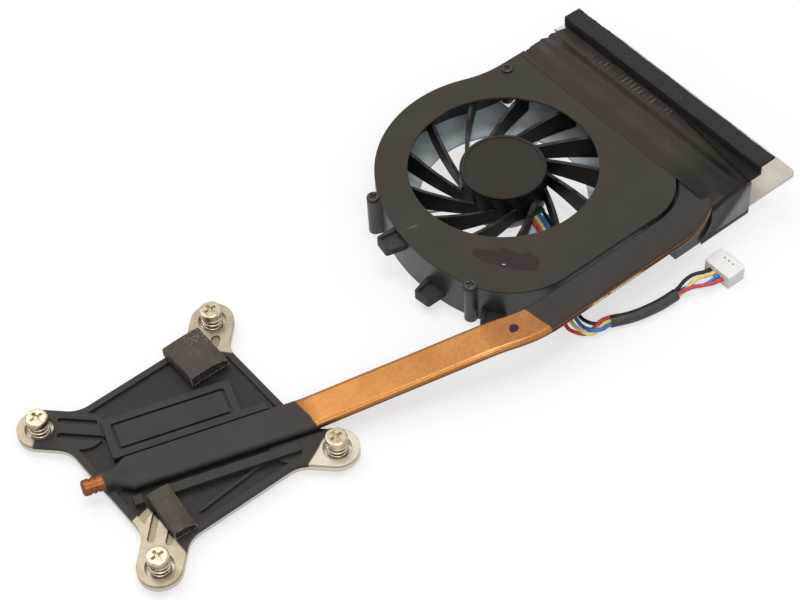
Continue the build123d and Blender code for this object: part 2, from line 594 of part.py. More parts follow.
# Rotor: steel yoke and ring magnet inside the hub, and the shaft pressed into its boss
yoke_outer = hub_inner - FIT
magnet_outer = yoke_outer - YOKE_THICK - FIT
magnet_inner = magnet_outer - MAGNET_THICK
rotor_yoke = ring(yoke_outer, yoke_outer - YOKE_THICK, HUB_BOTTOM + YOKE_INSET, roof_under)
rotor_magnet = ring(magnet_outer, magnet_inner, HUB_BOTTOM + MAGNET_INSET, roof_under - MAGNET_INSET)
shaft_bottom = BASE_THICK + PAD_THICK + SEAT
fan_shaft = rod(SHAFT_R, shaft_bottom, shaft_top)

# Bearing: holder tube on the base plate, with the bearing sleeve and the thrust pad inside
holder_top = boss_under - HOLDER_GAP
bearing_holder = ring(HOLDER_R, HOLDER_BORE_R, BASE_THICK, holder_top)
bearing_sleeve = ring(HOLDER_BORE_R - FIT, SHAFT_R + FIT,
                      BASE_THICK + PAD_THICK + SLEEVE_LIFT, holder_top - SLEEVE_INSET)
thrust_pad = rod(HOLDER_BORE_R - FIT, BASE_THICK, BASE_THICK + PAD_THICK)

# Stator: iron core with four poles, a coil round each pole
pole_tip = magnet_inner - AIR_GAP
stator_core = rod(STATOR_RING_R, STATOR_BOTTOM, STATOR_TOP)
shoe_ring = ring(pole_tip, pole_tip - POLE_SHOE, STATOR_BOTTOM, STATOR_TOP)
shoe_reach = 2 * pole_tip
half_span = math.radians(POLE_SPAN / 2)
wedge = slab(make_face(Polyline(
    (0, 0), (shoe_reach * math.cos(half_span), -shoe_reach * math.sin(half_span)),
    (shoe_reach * math.cos(half_span), shoe_reach * math.sin(half_span)), close=True)),
    STATOR_BOTTOM, STATOR_TOP)
pole = block(0, pole_tip - POLE_SHOE / 2, -POLE_WIDTH / 2, POLE_WIDTH / 2, STATOR_BOTTOM, STATOR_TOP)
coil_block = block(STATOR_RING_R + COIL_GAP, pole_tip - POLE_SHOE - COIL_THICK,
                   -POLE_WIDTH / 2 - COIL_THICK, POLE_WIDTH / 2 + COIL_THICK,
                   STATOR_BOTTOM - COIL_THICK, STATOR_TOP + COIL_THICK)
coil_hole = block(0, pole_tip, -POLE_WIDTH / 2 - FIT, POLE_WIDTH / 2 + FIT,
                  STATOR_BOTTOM - FIT, STATOR_TOP + FIT)
stator_coils = []
for turn in (45, 135, 225, 315):
    stator_core += Rot(0, 0, turn) * (pole + (shoe_ring & wedge))
    stator_coils.append(Rot(0, 0, turn) * (coil_block - coil_hole))
stator_core -= rod(HOLDER_R + FIT, STATOR_BOTTOM, STATOR_TOP)

# Motor board on the base plate, with a tongue where the wires are soldered
board_top = BASE_THICK + BOARD_THICK
motor_board = ring(BOARD_R, HOLDER_R + FIT, BASE_THICK, board_top)
motor_board += block(TONGUE_X - TONGUE_WIDTH / 2, TONGUE_X + TONGUE_WIDTH / 2,
                     -TONGUE_REACH, -BOARD_R / 2, BASE_THICK, board_top)

# Fin stack: upright fins between a stepped top skin and a bottom skin, with room for the pipe
fin_top = FAN_HEIGHT
step_x = fin_run_x + PIPE_WIDTH / 2 + PIPE_GAP
fin_side = Plane.XZ * make_face(Polyline(
    (fin_x0, BASE_THICK), (fin_x1, BASE_THICK), (fin_x1, fin_top), (step_x, fin_top),
    (step_x, pipe_under), (fin_x0, pipe_under), close=True))
fin_back = step_x + FIN_SKIN
fin_stack = block(fin_x0, fin_back, fin_y0, fin_y1, BASE_THICK, BASE_THICK + FIN_SKIN)
fin_stack += block(fin_x0, fin_back, fin_y0, fin_y1, pipe_under - FIN_SKIN, pipe_under)
fin_stack += block(step_x, fin_x1, pipe_side_y, fin_y1, BASE_THICK, BASE_THICK + FIN_SKIN)
fin_stack += block(step_x, fin_back, pipe_side_y, fin_y1, pipe_under - FIN_SKIN, fin_top)
fin_stack += block(step_x, fin_x1, pipe_side_y, fin_y1, fin_top - FIN_SKIN, fin_top)
fin = extrude(fin_side, FIN_THICK, dir=(0, 1, 0))
low_fin = block(fin_x0, fin_back, 0, FIN_THICK, BASE_THICK, pipe_under)
fin_step = (fin_y1 - fin_y0 - FIN_THICK) / (FIN_COUNT - 1)
fin_ys = [fin_y0 + fin_step * i for i in range(FIN_COUNT)]
fin_stack = fin_stack.fuse(*[Pos(0, y, 0) * (low_fin if y < pipe_side_y else fin) for y in fin_ys])

# Sealing film over the outlet, folded down over the near end of the fins
film_top = FAN_HEIGHT + FILM_THICK
film_y = fin_y0 - FILM_GAP - FILM_THICK
film_x0 = outlet_x - FILM_LAP
film_x1 = fin_x1 + FILM_THICK
sealing_film = block(film_x0, film_x1, film_y, fin_y1 + FIN_FAR, FAN_HEIGHT, film_top)
sealing_film += block(film_x0 + FILM_THICK, film_x0 + FILM_WRAP, film_y, film_y + FILM_THICK,
                      FILM_HEM, film_top)

# Foam gasket on the film, along the back of the outlet: a strip folded up and then back, whose foot
# narrows from the near end on
foam_x = film_x1 - FOAM_SHEET
foam_top = film_top + FOAM_HEIGHT
foam_foot = make_face(Polyline((foam_x, film_y), (film_x1 - FOAM_FOOT, film_y),
                               (foam_x, film_y + FOAM_FOOT_RUN), close=True))
foam_gasket = block(foam_x, film_x1, film_y, neck_y, film_top, foam_top)
foam_gasket += block(foam_x, foam_x + FOAM_WIDTH, film_y, neck_y, foam_top - FOAM_SHEET, foam_top)
foam_gasket += slab(foam_foot, film_top, film_top + FOAM_SHEET)
foam_gasket = fillet(foam_gasket.edges().group_by(Axis.Z)[-1], FOAM_ROUND)

# Wires: one hand-picked route each, from the motor board to the connector, measured from the fan's
# axis. They lie on the base plate, leave by the slot, go under the pipe and share a sleeve.
deck = BASE_THICK + WIRE_D / 2 + WIRE_LIFT
floor = WIRE_D / 2 + WIRE_LIFT
low = SLEEVE_D / 2 - 0.57 * WIRE_D
high = SLEEVE_D / 2 + 0.57 * WIRE_D
over = floor + 1.25 * WIRE_D
way = PLUG_BORE_Z
way_y = [PLUG_Y + PLUG_PITCH * (number - 1.5) for number in range(4)]
wire_end = PLUG_X + PLUG_BORE_DEPTH - WIRE_SETBACK
routes = {
    "wire_red": (
        (-0.3, -10.0, deck), (-1.5, -15.8, deck), (-6.4, -25.0, deck), (-12.8, -33.2, deck),
        (-14.9, -38.0, floor), (-14.9, -40.6, floor), (-13.5, -42.6, floor), (-10.9, -43.2, floor),
        (-7.8, -42.45, low), (-1.95, -45.14, low), (4.15, -46.32, low), (9.6, -46.42, low),
        (12.3, -46.95, 1.65), (15.2, -48.7, 2.9), (17.6, way_y[0], way + 0.1), (wire_end, way_y[0], way)),
    "wire_yellow": (
        (0.85, -10.0, deck), (-0.3, -15.5, deck), (-5.2, -25.0, deck), (-11.7, -33.3, deck),
        (-13.6, -38.2, over), (-13.6, -40.6, over), (-12.6, -43.0, over), (-10.4, -44.0, 1.2),
        (-8.0, -43.39, low), (-2.25, -46.06, low), (4.05, -47.28, low), (9.6, -47.38, low),
        (12.4, -47.75, 0.65), (15.3, -47.1, 1.5), (17.9, way_y[2], way), (wire_end, way_y[2], way)),
    "wire_blue": (
        (2.0, -10.0, deck), (0.9, -15.2, deck), (-4.0, -25.0, deck), (-10.6, -33.4, deck),
        (-12.3, -38.4, over), (-12.2, -40.7, 1.6), (-10.9, -42.7, 1.9),
        (-8.0, -43.39, high), (-2.25, -46.06, high), (4.05, -47.28, high), (9.6, -47.38, high),
        (12.4, -48.7, 1.5), (15.4, -49.3, 1.25), (17.9, way_y[1], way), (wire_end, way_y[1], way)),
    "wire_black": (
        (3.15, -10.0, deck), (2.1, -14.9, deck), (-2.8, -25.0, deck), (-9.5, -33.5, deck),
        (-11.1, -38.2, 1.1), (-10.8, -40.6, 1.5), (-9.4, -42.0, 1.75), (-7.2, -42.7, high),
        (-1.95, -45.14, high), (4.15, -46.32, high), (9.6, -46.42, high),
        (12.3, -45.25, 1.95), (15.3, -45.95, 2.0), (17.9, way_y[3], way), (wire_end, way_y[3], way)),
}
sleeve_z = SLEEVE_D / 2
sleeve_route = ((-7.1, -43.3, sleeve_z), (-2.1, -45.6, sleeve_z), (4.1, -46.8, sleeve_z),
                (8.6, -46.9, sleeve_z))
wires = {}
for name, points in routes.items():
    wires[name] = fan_at * tube(route_wire(points, name), WIRE_D / 2)
sleeve_path = route_wire(sleeve_route, "wire_sleeve")
wire_sleeve = fan_at * tube(sleeve_path, SLEEVE_D / 2, SLEEVE_D / 2 - SLEEVE_WALL)

# Connector: a small moulded plug with four ways
plug_x1 = PLUG_X + PLUG_DEPTH
front = plug_x1 + NOSE_REACH
connector_housing = block(PLUG_X, plug_x1, PLUG_Y - PLUG_WIDTH / 2, PLUG_Y + PLUG_WIDTH / 2, 0, PLUG_HEIGHT)
connector_housing = fillet(connector_housing.edges().filter_by(Axis.Z), PLUG_ROUND)
connector_housing += block(plug_x1 - NOSE_ROOT, front, PLUG_Y - NOSE_WIDTH / 2, PLUG_Y + NOSE_WIDTH / 2,
                           NOSE_INSET, PLUG_HEIGHT - NOSE_INSET)
connector_terminals = []
cell = TERMINAL_SIDE / 2 + SEAT
terminal_x = PLUG_X + PLUG_BORE_DEPTH + TERMINAL_SETBACK
for y in way_y:
    bore = Pos(PLUG_X + PLUG_BORE_DEPTH / 2, y, PLUG_BORE_Z) * Rot(0, 90, 0)
    connector_housing -= bore * Cylinder(PLUG_BORE_R, PLUG_BORE_DEPTH)
    connector_housing -= block(PLUG_X + PLUG_BORE_DEPTH, front, y - cell, y + cell,
                               PLUG_BORE_Z - cell, PLUG_BORE_Z + cell)
    terminal = Pos(terminal_x + TERMINAL_LENGTH / 2, y, PLUG_BORE_Z) * Box(
        TERMINAL_LENGTH, TERMINAL_SIDE, TERMINAL_SIDE)
    connector_terminals.append(terminal)

# One file for each piece
pieces = {
    "contact_block": contact_block, "cpu_plate": cpu_plate, "heat_pipe": heat_pipe,
    "fan_housing": fan_housing, "fan_cover": fan_cover, "base_plate": base_plate,
    "cover_screws": Compound(cover_screws), "impeller": fan_at * impeller,
    "rotor_yoke": fan_at * rotor_yoke, "rotor_magnet": fan_at * rotor_magnet,
    "fan_shaft": fan_at * fan_shaft, "bearing_holder": fan_at * bearing_holder,
    "bearing_sleeve": fan_at * bearing_sleeve, "thrust_pad": fan_at * thrust_pad,
    "stator_core": fan_at * stator_core, "stator_coils": fan_at * Compound(stator_coils),
    "motor_board": fan_at * motor_board, "fin_stack": fin_stack, "sealing_film": sealing_film,
    "foam_gasket": foam_gasket, "wire_sleeve": wire_sleeve,
    "connector_housing": fan_at * connector_housing,
    "connector_terminals": fan_at * Compound(connector_terminals),
}
pieces.update(pads)
pieces.update(wires)
for number, mount in enumerate(rubber_mounts, 1):
    pieces[f"rubber_mount_{number}"] = mount
for number, (x, y) in enumerate(screw_places, 1):
    pieces[f"captive_screw_{number}"] = Pos(x, y) * captive_screw
    pieces[f"screw_retainer_{number}"] = Pos(x, y) * retainer
    pieces[f"screw_spring_{number}"] = Pos(x, y) * spring

os.makedirs("parts", exist_ok=True)
for name, piece in pieces.items():
    export_step(piece, f"parts/{name}.step")
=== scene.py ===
import math

import bmesh
import bpy
from mathutils import Matrix, Vector


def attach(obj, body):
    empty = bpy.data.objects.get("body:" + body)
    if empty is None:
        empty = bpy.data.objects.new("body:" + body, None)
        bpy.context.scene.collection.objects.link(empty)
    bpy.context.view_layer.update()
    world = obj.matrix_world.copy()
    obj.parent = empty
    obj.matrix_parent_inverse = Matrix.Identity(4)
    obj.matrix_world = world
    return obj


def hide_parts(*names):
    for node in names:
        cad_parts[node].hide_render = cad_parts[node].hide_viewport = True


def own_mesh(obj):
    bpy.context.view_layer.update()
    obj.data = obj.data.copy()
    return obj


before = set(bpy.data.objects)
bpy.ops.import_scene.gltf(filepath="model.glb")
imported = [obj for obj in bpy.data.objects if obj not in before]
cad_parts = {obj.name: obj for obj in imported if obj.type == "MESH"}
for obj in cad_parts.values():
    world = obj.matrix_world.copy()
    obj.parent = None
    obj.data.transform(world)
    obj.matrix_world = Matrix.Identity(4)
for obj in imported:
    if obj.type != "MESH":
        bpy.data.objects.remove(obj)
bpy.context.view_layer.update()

# Studio: a white table top lit by soft boxes from behind, above and in front, seen with a long lens
# from the side of the processor plate, a little above half way up. The table shows white and keeps
# the soft shadows.
CAMERA_PLACE = (-0.114033, -0.235755, 0.351117)
CAMERA_AZIMUTH, CAMERA_ELEVATION, CAMERA_ROLL = -35.8129, 50.1034, 3.8368
SENSOR_WIDTH, FOCAL_LENGTH, NEAR_LIMIT = 36.0, 94.80, 0.01
TABLE_REACH, TABLE_GAP = 3.0, 0.00005
TABLE_TONE, TABLE_GLOW, BLACK = (0.42, 0.42, 0.424), (0.6, 0.6, 0.6), (0, 0, 0)
SKY_TONE, SKY_FILL = (1.0, 0.995, 0.985), 0.5
LIT_SPOT = (0.06, 0, 0)
SOFT_BOXES = {      # place, width and power
    "key_light": ((-0.05, 0.55, 0.92), 0.55, 2.4),
    "top_light": ((0.16, -0.02, 1.0), 0.3, 1.8),
    "front_light": ((-0.25, -0.6, 0.75), 0.6, 2.1)}
scene = bpy.context.scene
scene.view_settings.view_transform = "Standard"


def put(name, data):
    """A new object in the scene."""
    made = bpy.data.objects.new(name, data)
    scene.collection.objects.link(made)
    return made


azimuth, elevation, roll = map(math.radians, (CAMERA_AZIMUTH, CAMERA_ELEVATION, CAMERA_ROLL))
back = Vector((math.sin(azimuth) * math.cos(elevation), -math.cos(azimuth) * math.cos(elevation),
               math.sin(elevation)))
level = Vector((math.cos(azimuth), math.sin(azimuth), 0))
upright = back.cross(level)
right = level * math.cos(roll) - upright * math.sin(roll)
up = level * math.sin(roll) + upright * math.cos(roll)
lens = bpy.data.cameras.new("camera")
lens.sensor_width = SENSOR_WIDTH
lens.lens = FOCAL_LENGTH
lens.clip_start = NEAR_LIMIT
camera = put("camera", lens)
camera.matrix_world = Matrix.Translation(CAMERA_PLACE) @ Matrix(
    (right, up, back)).transposed().to_4x4()
scene.camera = camera


class Shade:
    """One socket of a material's nodes. Sums, products and the like of them add Math nodes."""

    def __init__(self, socket):
        self.socket = socket

    def node(self, kind, settings, sockets, out=0):
        """Adds a node of any kind: its settings first, then the values or links of its sockets."""
        tree = self.socket.id_data
        made = tree.nodes.new(kind)
        for name, value in settings.items():
            setattr(made, name, value)
        for name, value in sockets.items():
            if isinstance(value, Shade):
                tree.links.new(value.socket, made.inputs[name])
            else:
                made.inputs[name].default_value = value
        return Shade(made.outputs[out])

    def math(self, operation, first, second=0.0):
        return self.node("ShaderNodeMath", {"operation": operation}, {0: first, 1: second})

    def __add__(self, other):
        return self.math("ADD", self, other)

    def __sub__(self, other):
        return self.math("SUBTRACT", self, other)

    def __rsub__(self, other):
        return self.math("SUBTRACT", other, self)

    def __mul__(self, other):
        return self.math("MULTIPLY", self, other)

    __radd__ = __add__
    __rmul__ = __mul__

    def size(self):
        return self.math("ABSOLUTE", self)

    def sine(self):
        return self.math("SINE", self)

    def most(self, *others):
        """The largest of this value and others."""
        largest = self
        for other in others:
            largest = self.math("MAXIMUM", largest, other)
        return largest

    def axis(self, letter):
        return self.node("ShaderNodeSeparateXYZ", {}, {0: self}, letter)

    def fade(self, start, end):
        """0 up to start and 1 from end on, smooth between; falls where end is the smaller."""
        rise = self.node("ShaderNodeMapRange", {"interpolation_type": "SMOOTHSTEP"}, {
            "Value": self, "From Min": min(start, end), "From Max": max(start, end)})
        return rise if start < end else 1 - rise

    def mix(self, plain, other):
        """Between two colours, by this value."""
        plain, other = (c if isinstance(c, Shade) else (*c, 1.0) for c in (plain, other))
        return self.node("ShaderNodeMix", {"data_type": "RGBA"}, {0: self, 6: plain, 7: other}, 2)

    def noise(self, grain, detail=3.0, stretch=(1, 1, 1)):
        """Soft random grain on this place, with grains about so many metres across."""
        scaled = self.node("ShaderNodeMapping", {}, {
            "Vector": self, "Scale": tuple(s / grain for s in stretch)})
        return self.node("ShaderNodeTexNoise", {}, {
            "Vector": scaled, "Scale": 1.0, "Detail": detail}, "Fac")

    def cells(self, scale, feature="F1"):
        """Distances in a pattern of cells, about so many of them to the metre."""
        return self.node("ShaderNodeTexVoronoi", {"feature": feature}, {
            "Vector": self, "Scale": scale}, "Distance")

    def bands(self, direction, scale):
        """Soft even bands that follow each other in one direction."""
        return self.node("ShaderNodeTexWave", {"bands_direction": direction}, {
            "Vector": self, "Scale": scale}, "Fac")

    def normal(self):
        """The surface's own normal."""
        return self.node("ShaderNodeNewGeometry", {}, {}, "Normal")

    def into(self, shader, name):
        self.socket.id_data.links.new(self.socket, shader.inputs[name])


def finish(name, **plain):
    """A new material: itself, its shader with plain values set, and the piece's own coordinates."""
    material = bpy.data.materials.new(name)
    material.use_nodes = True
    nodes = material.node_tree.nodes
    shader = nodes["Principled BSDF"]
    for socket, value in plain.items():
        shader.inputs[socket.replace("_", " ")].default_value = value
    return material, shader, Shade(nodes.new("ShaderNodeTexCoord").outputs["Object"])


def seen_ray(shade):
    """1 for what the camera sees, also in a mirror or through glass."""
    straight, *others = (shade.node("ShaderNodeLightPath", {}, {}, kind) for kind in (
        "Is Camera Ray", "Is Glossy Ray", "Is Transmission Ray"))
    return straight.most(*others)


floor_mesh = bpy.data.meshes.new("table_top")
floor_mesh.from_pydata([(x * TABLE_REACH, y * TABLE_REACH, -TABLE_GAP)
                        for x, y in ((-1, -1), (1, -1), (1, 1), (-1, 1))], [], [(0, 1, 2, 3)])
table_white, shader, spot = finish("table_white", Roughness=0.9, Specular_IOR_Level=0.1,
                                   Base_Color=(*TABLE_TONE, 1), Emission_Strength=1.0)
seen_ray(spot).mix(BLACK, TABLE_GLOW).into(shader, "Emission Color")
floor_mesh.materials.append(table_white)
put("table_top", floor_mesh)

sky = bpy.data.worlds.new("studio")
sky.use_nodes = True
scene.world = sky
backdrop = sky.node_tree.nodes["Background"]
backdrop.inputs["Color"].default_value = (*SKY_TONE, 1)
seen = seen_ray(Shade(backdrop.inputs["Color"]))
(seen * (1 - SKY_FILL) + SKY_FILL).into(backdrop, "Strength")

for name, (source, width, power) in SOFT_BOXES.items():
    light = bpy.data.lights.new(name, "AREA")
    light.shape = "SQUARE"
    light.size = width
    light.energy = power
    aim = (Vector(LIT_SPOT) - Vector(source)).to_track_quat("-Z", "Y")
    put(name, light).matrix_world = Matrix.Translation(source) @ aim.to_matrix().to_4x4()

# Fan wires: four limp plastic-covered wires from the motor board to the plug, held together in a
# sleeve. They lie on the base plate, leave by a slot and pass under the pipe.
MM = 0.001
FAN_AXIS = Vector((94.4, 10.6, 0)) * MM
WIRE_D, WIRE_SIDES, WIRE_STEPS, SOILED = 0.85 * MM, 5, 8, 0.72
WIRES = {           # length and colour
    "wire_red": (0.0724, (0.74, 0.06, 0.085)), "wire_yellow": (0.0705, (1.0, 0.86, 0.29)),
    "wire_blue": (0.0687, (0.07, 0.23, 0.68)), "wire_black": (0.0667, (0.012, 0.012, 0.012))}
WIRE_ROUTES = {     # mm from the fan's axis
    "wire_red": (
        (-0.3, -10.0, 1.045), (-1.5, -15.8, 1.045), (-6.4, -25.0, 1.045), (-12.8, -33.2, 1.045),
        (-14.9, -38.0, 0.445), (-14.4, -40.45, 0.85), (-12.9, -42.05, 0.35), (-11.0, -42.25, 1.2),
        (-7.8, -41.95, 2.15), (-1.95, -45.14, 1.8145), (4.1, -46.8, 2.0), (9.6, -47.38, 1.8145),
        (12.6, -48.25, 2.2), (15.4, -49.8, 2.0), (17.6, -50.51, 1.8), (20.0, -50.51, 1.7)),
    "wire_yellow": (
        (0.85, -10.0, 1.045), (-0.3, -15.5, 1.045), (-5.2, -25.0, 1.045), (-11.7, -33.3, 1.045),
        (-13.6, -38.2, 1.5075), (-13.8, -40.45, 1.65), (-12.9, -42.9, 1.2), (-10.7, -43.3, 0.9),
        (-8.2, -42.8, 2.15), (-2.25, -46.06, 1.8145), (4.05, -47.48, 1.33), (9.6, -47.38, 0.8455),
        (12.4, -47.15, 1.6), (15.3, -46.7, 1.9), (17.9, -48.03, 1.7), (20.0, -48.03, 1.7)),
    "wire_blue": (
        (2.0, -10.0, 1.045), (0.9, -15.2, 1.045), (-4.0, -25.0, 1.045), (-10.6, -33.4, 1.045),
        (-12.3, -38.4, 1.5075), (-12.5, -40.85, 1.25), (-11.65, -43.15, 2.05), (-10.2, -44.1, 1.75),
        (-7.75, -43.7, 1.35), (-2.25, -46.06, 0.8455), (4.1, -46.8, 0.65), (9.6, -46.42, 0.8455),
        (12.7, -46.45, 0.5), (15.3, -48.7, 0.6), (17.9, -49.27, 1.7), (20.0, -49.27, 1.7)),
    "wire_black": (
        (3.15, -10.0, 1.045), (2.1, -14.9, 1.045), (-2.8, -25.0, 1.045), (-9.5, -33.5, 1.045),
        (-11.1, -38.2, 1.1), (-10.8, -40.45, 1.4), (-9.55, -41.6, 0.9), (-7.6, -42.25, 1.0),
        (-1.95, -45.14, 0.8455), (4.15, -46.12, 1.33), (9.6, -46.42, 1.8145),
        (12.3, -45.5, 1.9), (15.35, -45.5, 1.9), (17.9, -46.79, 1.7), (20.0, -46.79, 1.7)),
}


def dents(spot, shader, strength, depth, height, base=None):
    """Small dents in a surface, on top of base normals where there are any."""
    sockets = {"Strength": strength, "Distance": depth, "Height": height}
    if base is not None:
        sockets["Normal"] = base
    spot.node("ShaderNodeBump", {}, sockets).into(shader, "Normal")


def stand_for(piece, node):
    """Puts a piece on the module in the place of a CAD node."""
    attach(piece, "module")
    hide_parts(node)


for node, (length, colour) in WIRES.items():
    curve = bpy.data.curves.new(node + "_lead", "CURVE")
    curve.dimensions = "3D"
    curve.bevel_depth = WIRE_D / 2
    curve.bevel_resolution = WIRE_SIDES
    curve.resolution_u = WIRE_STEPS
    curve.use_fill_caps = True
    points = [FAN_AXIS + Vector(point) * MM for point in WIRE_ROUTES[node]]
    line = curve.splines.new("NURBS")
    line.points.add(len(points) - 1)
    for knot, point in zip(line.points, points):
        knot.co = (*point, 1.0)
    line.order_u = 3
    line.use_endpoint_u = True
    wire_cover, shader, spot = finish(node + "_cover", Roughness=0.38)
    soiled = tuple(SOILED * c for c in colour)
    spot.noise(0.0016).fade(0.35, 0.75).mix(colour, soiled).into(shader, "Base Color")
    dents(spot, shader, 0.12, 0.00004, spot.noise(0.0004))
    curve.materials.append(wire_cover)
    wire = put(node + "_lead", curve)
    stand_for(wire, node)

# Contact block and processor plate: a machined copper block under a cast light-metal plate. The top
# of the plate is sprayed black round the pipe, and its arms and outer sides are left bare.
SCREW_PITCH, DIAGONAL, PAINT_EDGE = 44.0, 1 / math.sqrt(2), 0.25
ARM_PAINT = {       # by arm: mm in from the screw where its paint starts, and the edge's slant
    (1, 1): ((8.4, 0.0),), (-1, 1): ((-0.4, 0.0),), (1, -1): ((3.6, 0.35),),
    (-1, -1): ((8.4, 1.05), (21.8, -1.6))}
BARE_CAST, BARE_DULL, BARE_NEAR = (0.44, 0.385, 0.29), (0.34, 0.28, 0.195), (0.58, 0.545, 0.45)
BARE_SIDE_HIGHLIGHT, BARE_PITS, BARE_GROOVE_SHADE = (0.66, 0.62, 0.53), (0.24, 0.19, 0.13), (0.27, 0.22, 0.15)
PLATE_PAINT, PLATE_WORN = (0.026, 0.0212, 0.0168), (0.033, 0.027, 0.0216)
PLATE_SUNK_SHADE, PLATE_DUST = (0.0165, 0.0142, 0.0118), (0.2, 0.19, 0.17)


def dress(material, *nodes):
    """Gives carried-over pieces their finish."""
    for node in nodes:
        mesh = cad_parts[node].data
        mesh.materials.clear()
        mesh.materials.append(material)


def rounded(spot, radius):
    """Normals that round off a piece's sharp edges by a small radius."""
    return spot.node("ShaderNodeBevel", {"samples": 4}, {"Radius": radius}, "Normal")


block_finish, shader, spot = finish("milled_copper", Metallic=1.0, Roughness=0.3)
milling = spot.noise(0.0004, stretch=(1, 0.05, 1))
milling.fade(0.2, 0.8).mix((0.86, 0.45, 0.26), (0.72, 0.34, 0.18)).into(shader, "Base Color")
dents(spot, shader, 0.2, 0.00002, milling, rounded(spot, 0.0001))
dress(block_finish, "contact_block")

plate_finish, shader, spot = finish("plate_paint", Specular_IOR_Level=0.3)
x, y, z = (spot.axis(letter) for letter in "XYZ")
wander = (spot.noise(0.003) - 0.5) * 0.001
painted = (z + wander * 0.15).fade(0.0022, 0.0024)
for (side_x, side_y), limits in ARM_PAINT.items():
    inwards = (SCREW_PITCH * MM - x * side_x - y * side_y) * DIAGONAL + wander
    aside = (x * side_y - y * side_x) * DIAGONAL
    edge, *others = (
        (inwards - aside * slant).fade((start - PAINT_EDGE) * MM, (start + PAINT_EDGE) * MM)
        for start, slant in limits)
    painted = painted * edge.most(*others)
sunk = z.fade(0.0031, 0.0029)
grain = spot.noise(0.0005, 5.0)
bare = spot.noise(0.003, 4.0).fade(0.3, 0.75).mix(BARE_CAST, BARE_DULL)
bare = (x - y).fade(0.03, 0.042).mix(bare, BARE_NEAR)
# Bare faces low on the plate, its outer sides above all, are painted lighter: a painted highlight.
bare = (z.fade(0.0026, 0.0022) * 0.7).mix(bare, BARE_SIDE_HIGHLIGHT)
bare = (grain.fade(0.55, 0.75) * 0.35).mix(bare, BARE_PITS)
# Bare faces at the groove floors are painted darker: painted shade in the grooves.
bare = (sunk * z.fade(0.0026, 0.0027)).mix(bare, BARE_GROOVE_SHADE)
paint = (spot.noise(0.006, 4.0).fade(0.35, 0.7) * 0.8).mix(PLATE_PAINT, PLATE_WORN)
# The sunk field of the black paint is painted darker: painted shade.
paint = sunk.mix(paint, PLATE_SUNK_SHADE)
paint = (spot.noise(0.0004, 2.0).fade(0.72, 0.78) * 0.16).mix(paint, PLATE_DUST)
painted.mix(bare, paint).into(shader, "Base Color")
(0.85 - painted * 0.85).into(shader, "Metallic")
(0.36 + painted * 0.12 + grain * 0.06).into(shader, "Roughness")
peel = spot.noise(0.00035, 2.0) + grain * 0.5
dents(spot, shader, 0.2, 0.00003, peel, rounded(spot, 0.00018))
dress(plate_finish, "cpu_plate")

# Captive screws: nickel-plated screws with a cross recess, each kept by a snap ring under the plate
# and lifted by a closed-end steel spring that stands in the well of its arm.
SCREW_SIDES = {1: (1, 1), 2: (-1, 1), 3: (1, -1), 4: (-1, -1)}
SPRING_FOOT, SPRING_TOP, SPRING_R, SPRING_WIRE_R, SPRING_TURNS = 1.95, 5.35, 2.0, 0.28, 2.4
SCREW_TRAVEL, COIL_STEPS, COIL_SIDES = 1.8, 28, 10
nickel, shader, spot = finish("nickel_plate", Metallic=1.0)
tarnish = spot.noise(0.0012, 4.0)
tarnish.fade(0.3, 0.75).mix((0.64, 0.565, 0.42), (0.4, 0.335, 0.23)).into(shader, "Base Color")
(0.16 + tarnish * 0.16).into(shader, "Roughness")
dents(spot, shader, 0.15, 0.00003, spot.noise(0.0003), rounded(spot, 0.00012))
dress(nickel, *(f"captive_screw_{n}" for n in SCREW_SIDES))


def mottled(name, grain, light, dark, **plain):
    """A finish with soft patches of a darker tone."""
    material, shader, spot = finish(name, **plain)
    spot.noise(grain).fade(0.3, 0.8).mix(light, dark).into(shader, "Base Color")
    return material, shader, spot


ring_steel, shader, spot = mottled("ring_steel", 0.0008, (0.6, 0.59, 0.57), (0.42, 0.41, 0.4),
                                   Metallic=1.0, Roughness=0.32)
rounded(spot, 0.00006).into(shader, "Normal")
dress(ring_steel, *(f"screw_retainer_{n}" for n in SCREW_SIDES))

spring_steel, *_ = mottled("spring_steel", 0.0006, (0.78, 0.7, 0.54), (0.55, 0.48, 0.36),
                           Metallic=1.0, Roughness=0.22)


def start_tree(name, sizes):
    """A geometry tree with named inputs: itself, its input node and the inputs' identifiers."""
    tree = bpy.data.node_groups.new(name, "GeometryNodeTree")
    for way in ("INPUT", "OUTPUT"):
        tree.interface.new_socket("Geometry", in_out=way, socket_type="NodeSocketGeometry")
    keys = {size: tree.interface.new_socket(size, in_out="INPUT", socket_type=kind).identifier
            for size, kind in sizes.items()}
    return tree, tree.nodes.new("NodeGroupInput"), keys


def end_tree(tree, made, material, links):
    """Draws a tree's links, makes its copies real and gives what was made its finish."""
    real = tree.nodes.new("GeometryNodeRealizeInstances")
    coat = tree.nodes.new("GeometryNodeSetMaterial")
    coat.inputs["Material"].default_value = material
    result = tree.nodes.new("NodeGroupOutput")
    for start, end in (*links, (made, real.inputs["Geometry"]),
                       (real.outputs["Geometry"], coat.inputs["Geometry"]),
                       (coat.outputs["Geometry"], result.inputs[0])):
        tree.links.new(start, end)


def grow(name, tree, keys, sizes, material, seed_mesh=None):
    """A plain mesh object from a geometry tree with its inputs set."""
    maker = put(name + "_maker", seed_mesh or bpy.data.meshes.new(name + "_seed"))
    modifier = maker.modifiers.new("made", "NODES")
    modifier.node_group = tree
    for size, value in sizes.items():
        modifier[keys[size]] = value
    bpy.context.view_layer.update()
    graph = bpy.context.evaluated_depsgraph_get()
    mesh = bpy.data.meshes.new_from_object(maker.evaluated_get(graph), depsgraph=graph)
    bpy.data.objects.remove(maker)
    mesh.name = name
    mesh.materials.clear()
    mesh.materials.append(material)
    return put(name, mesh)


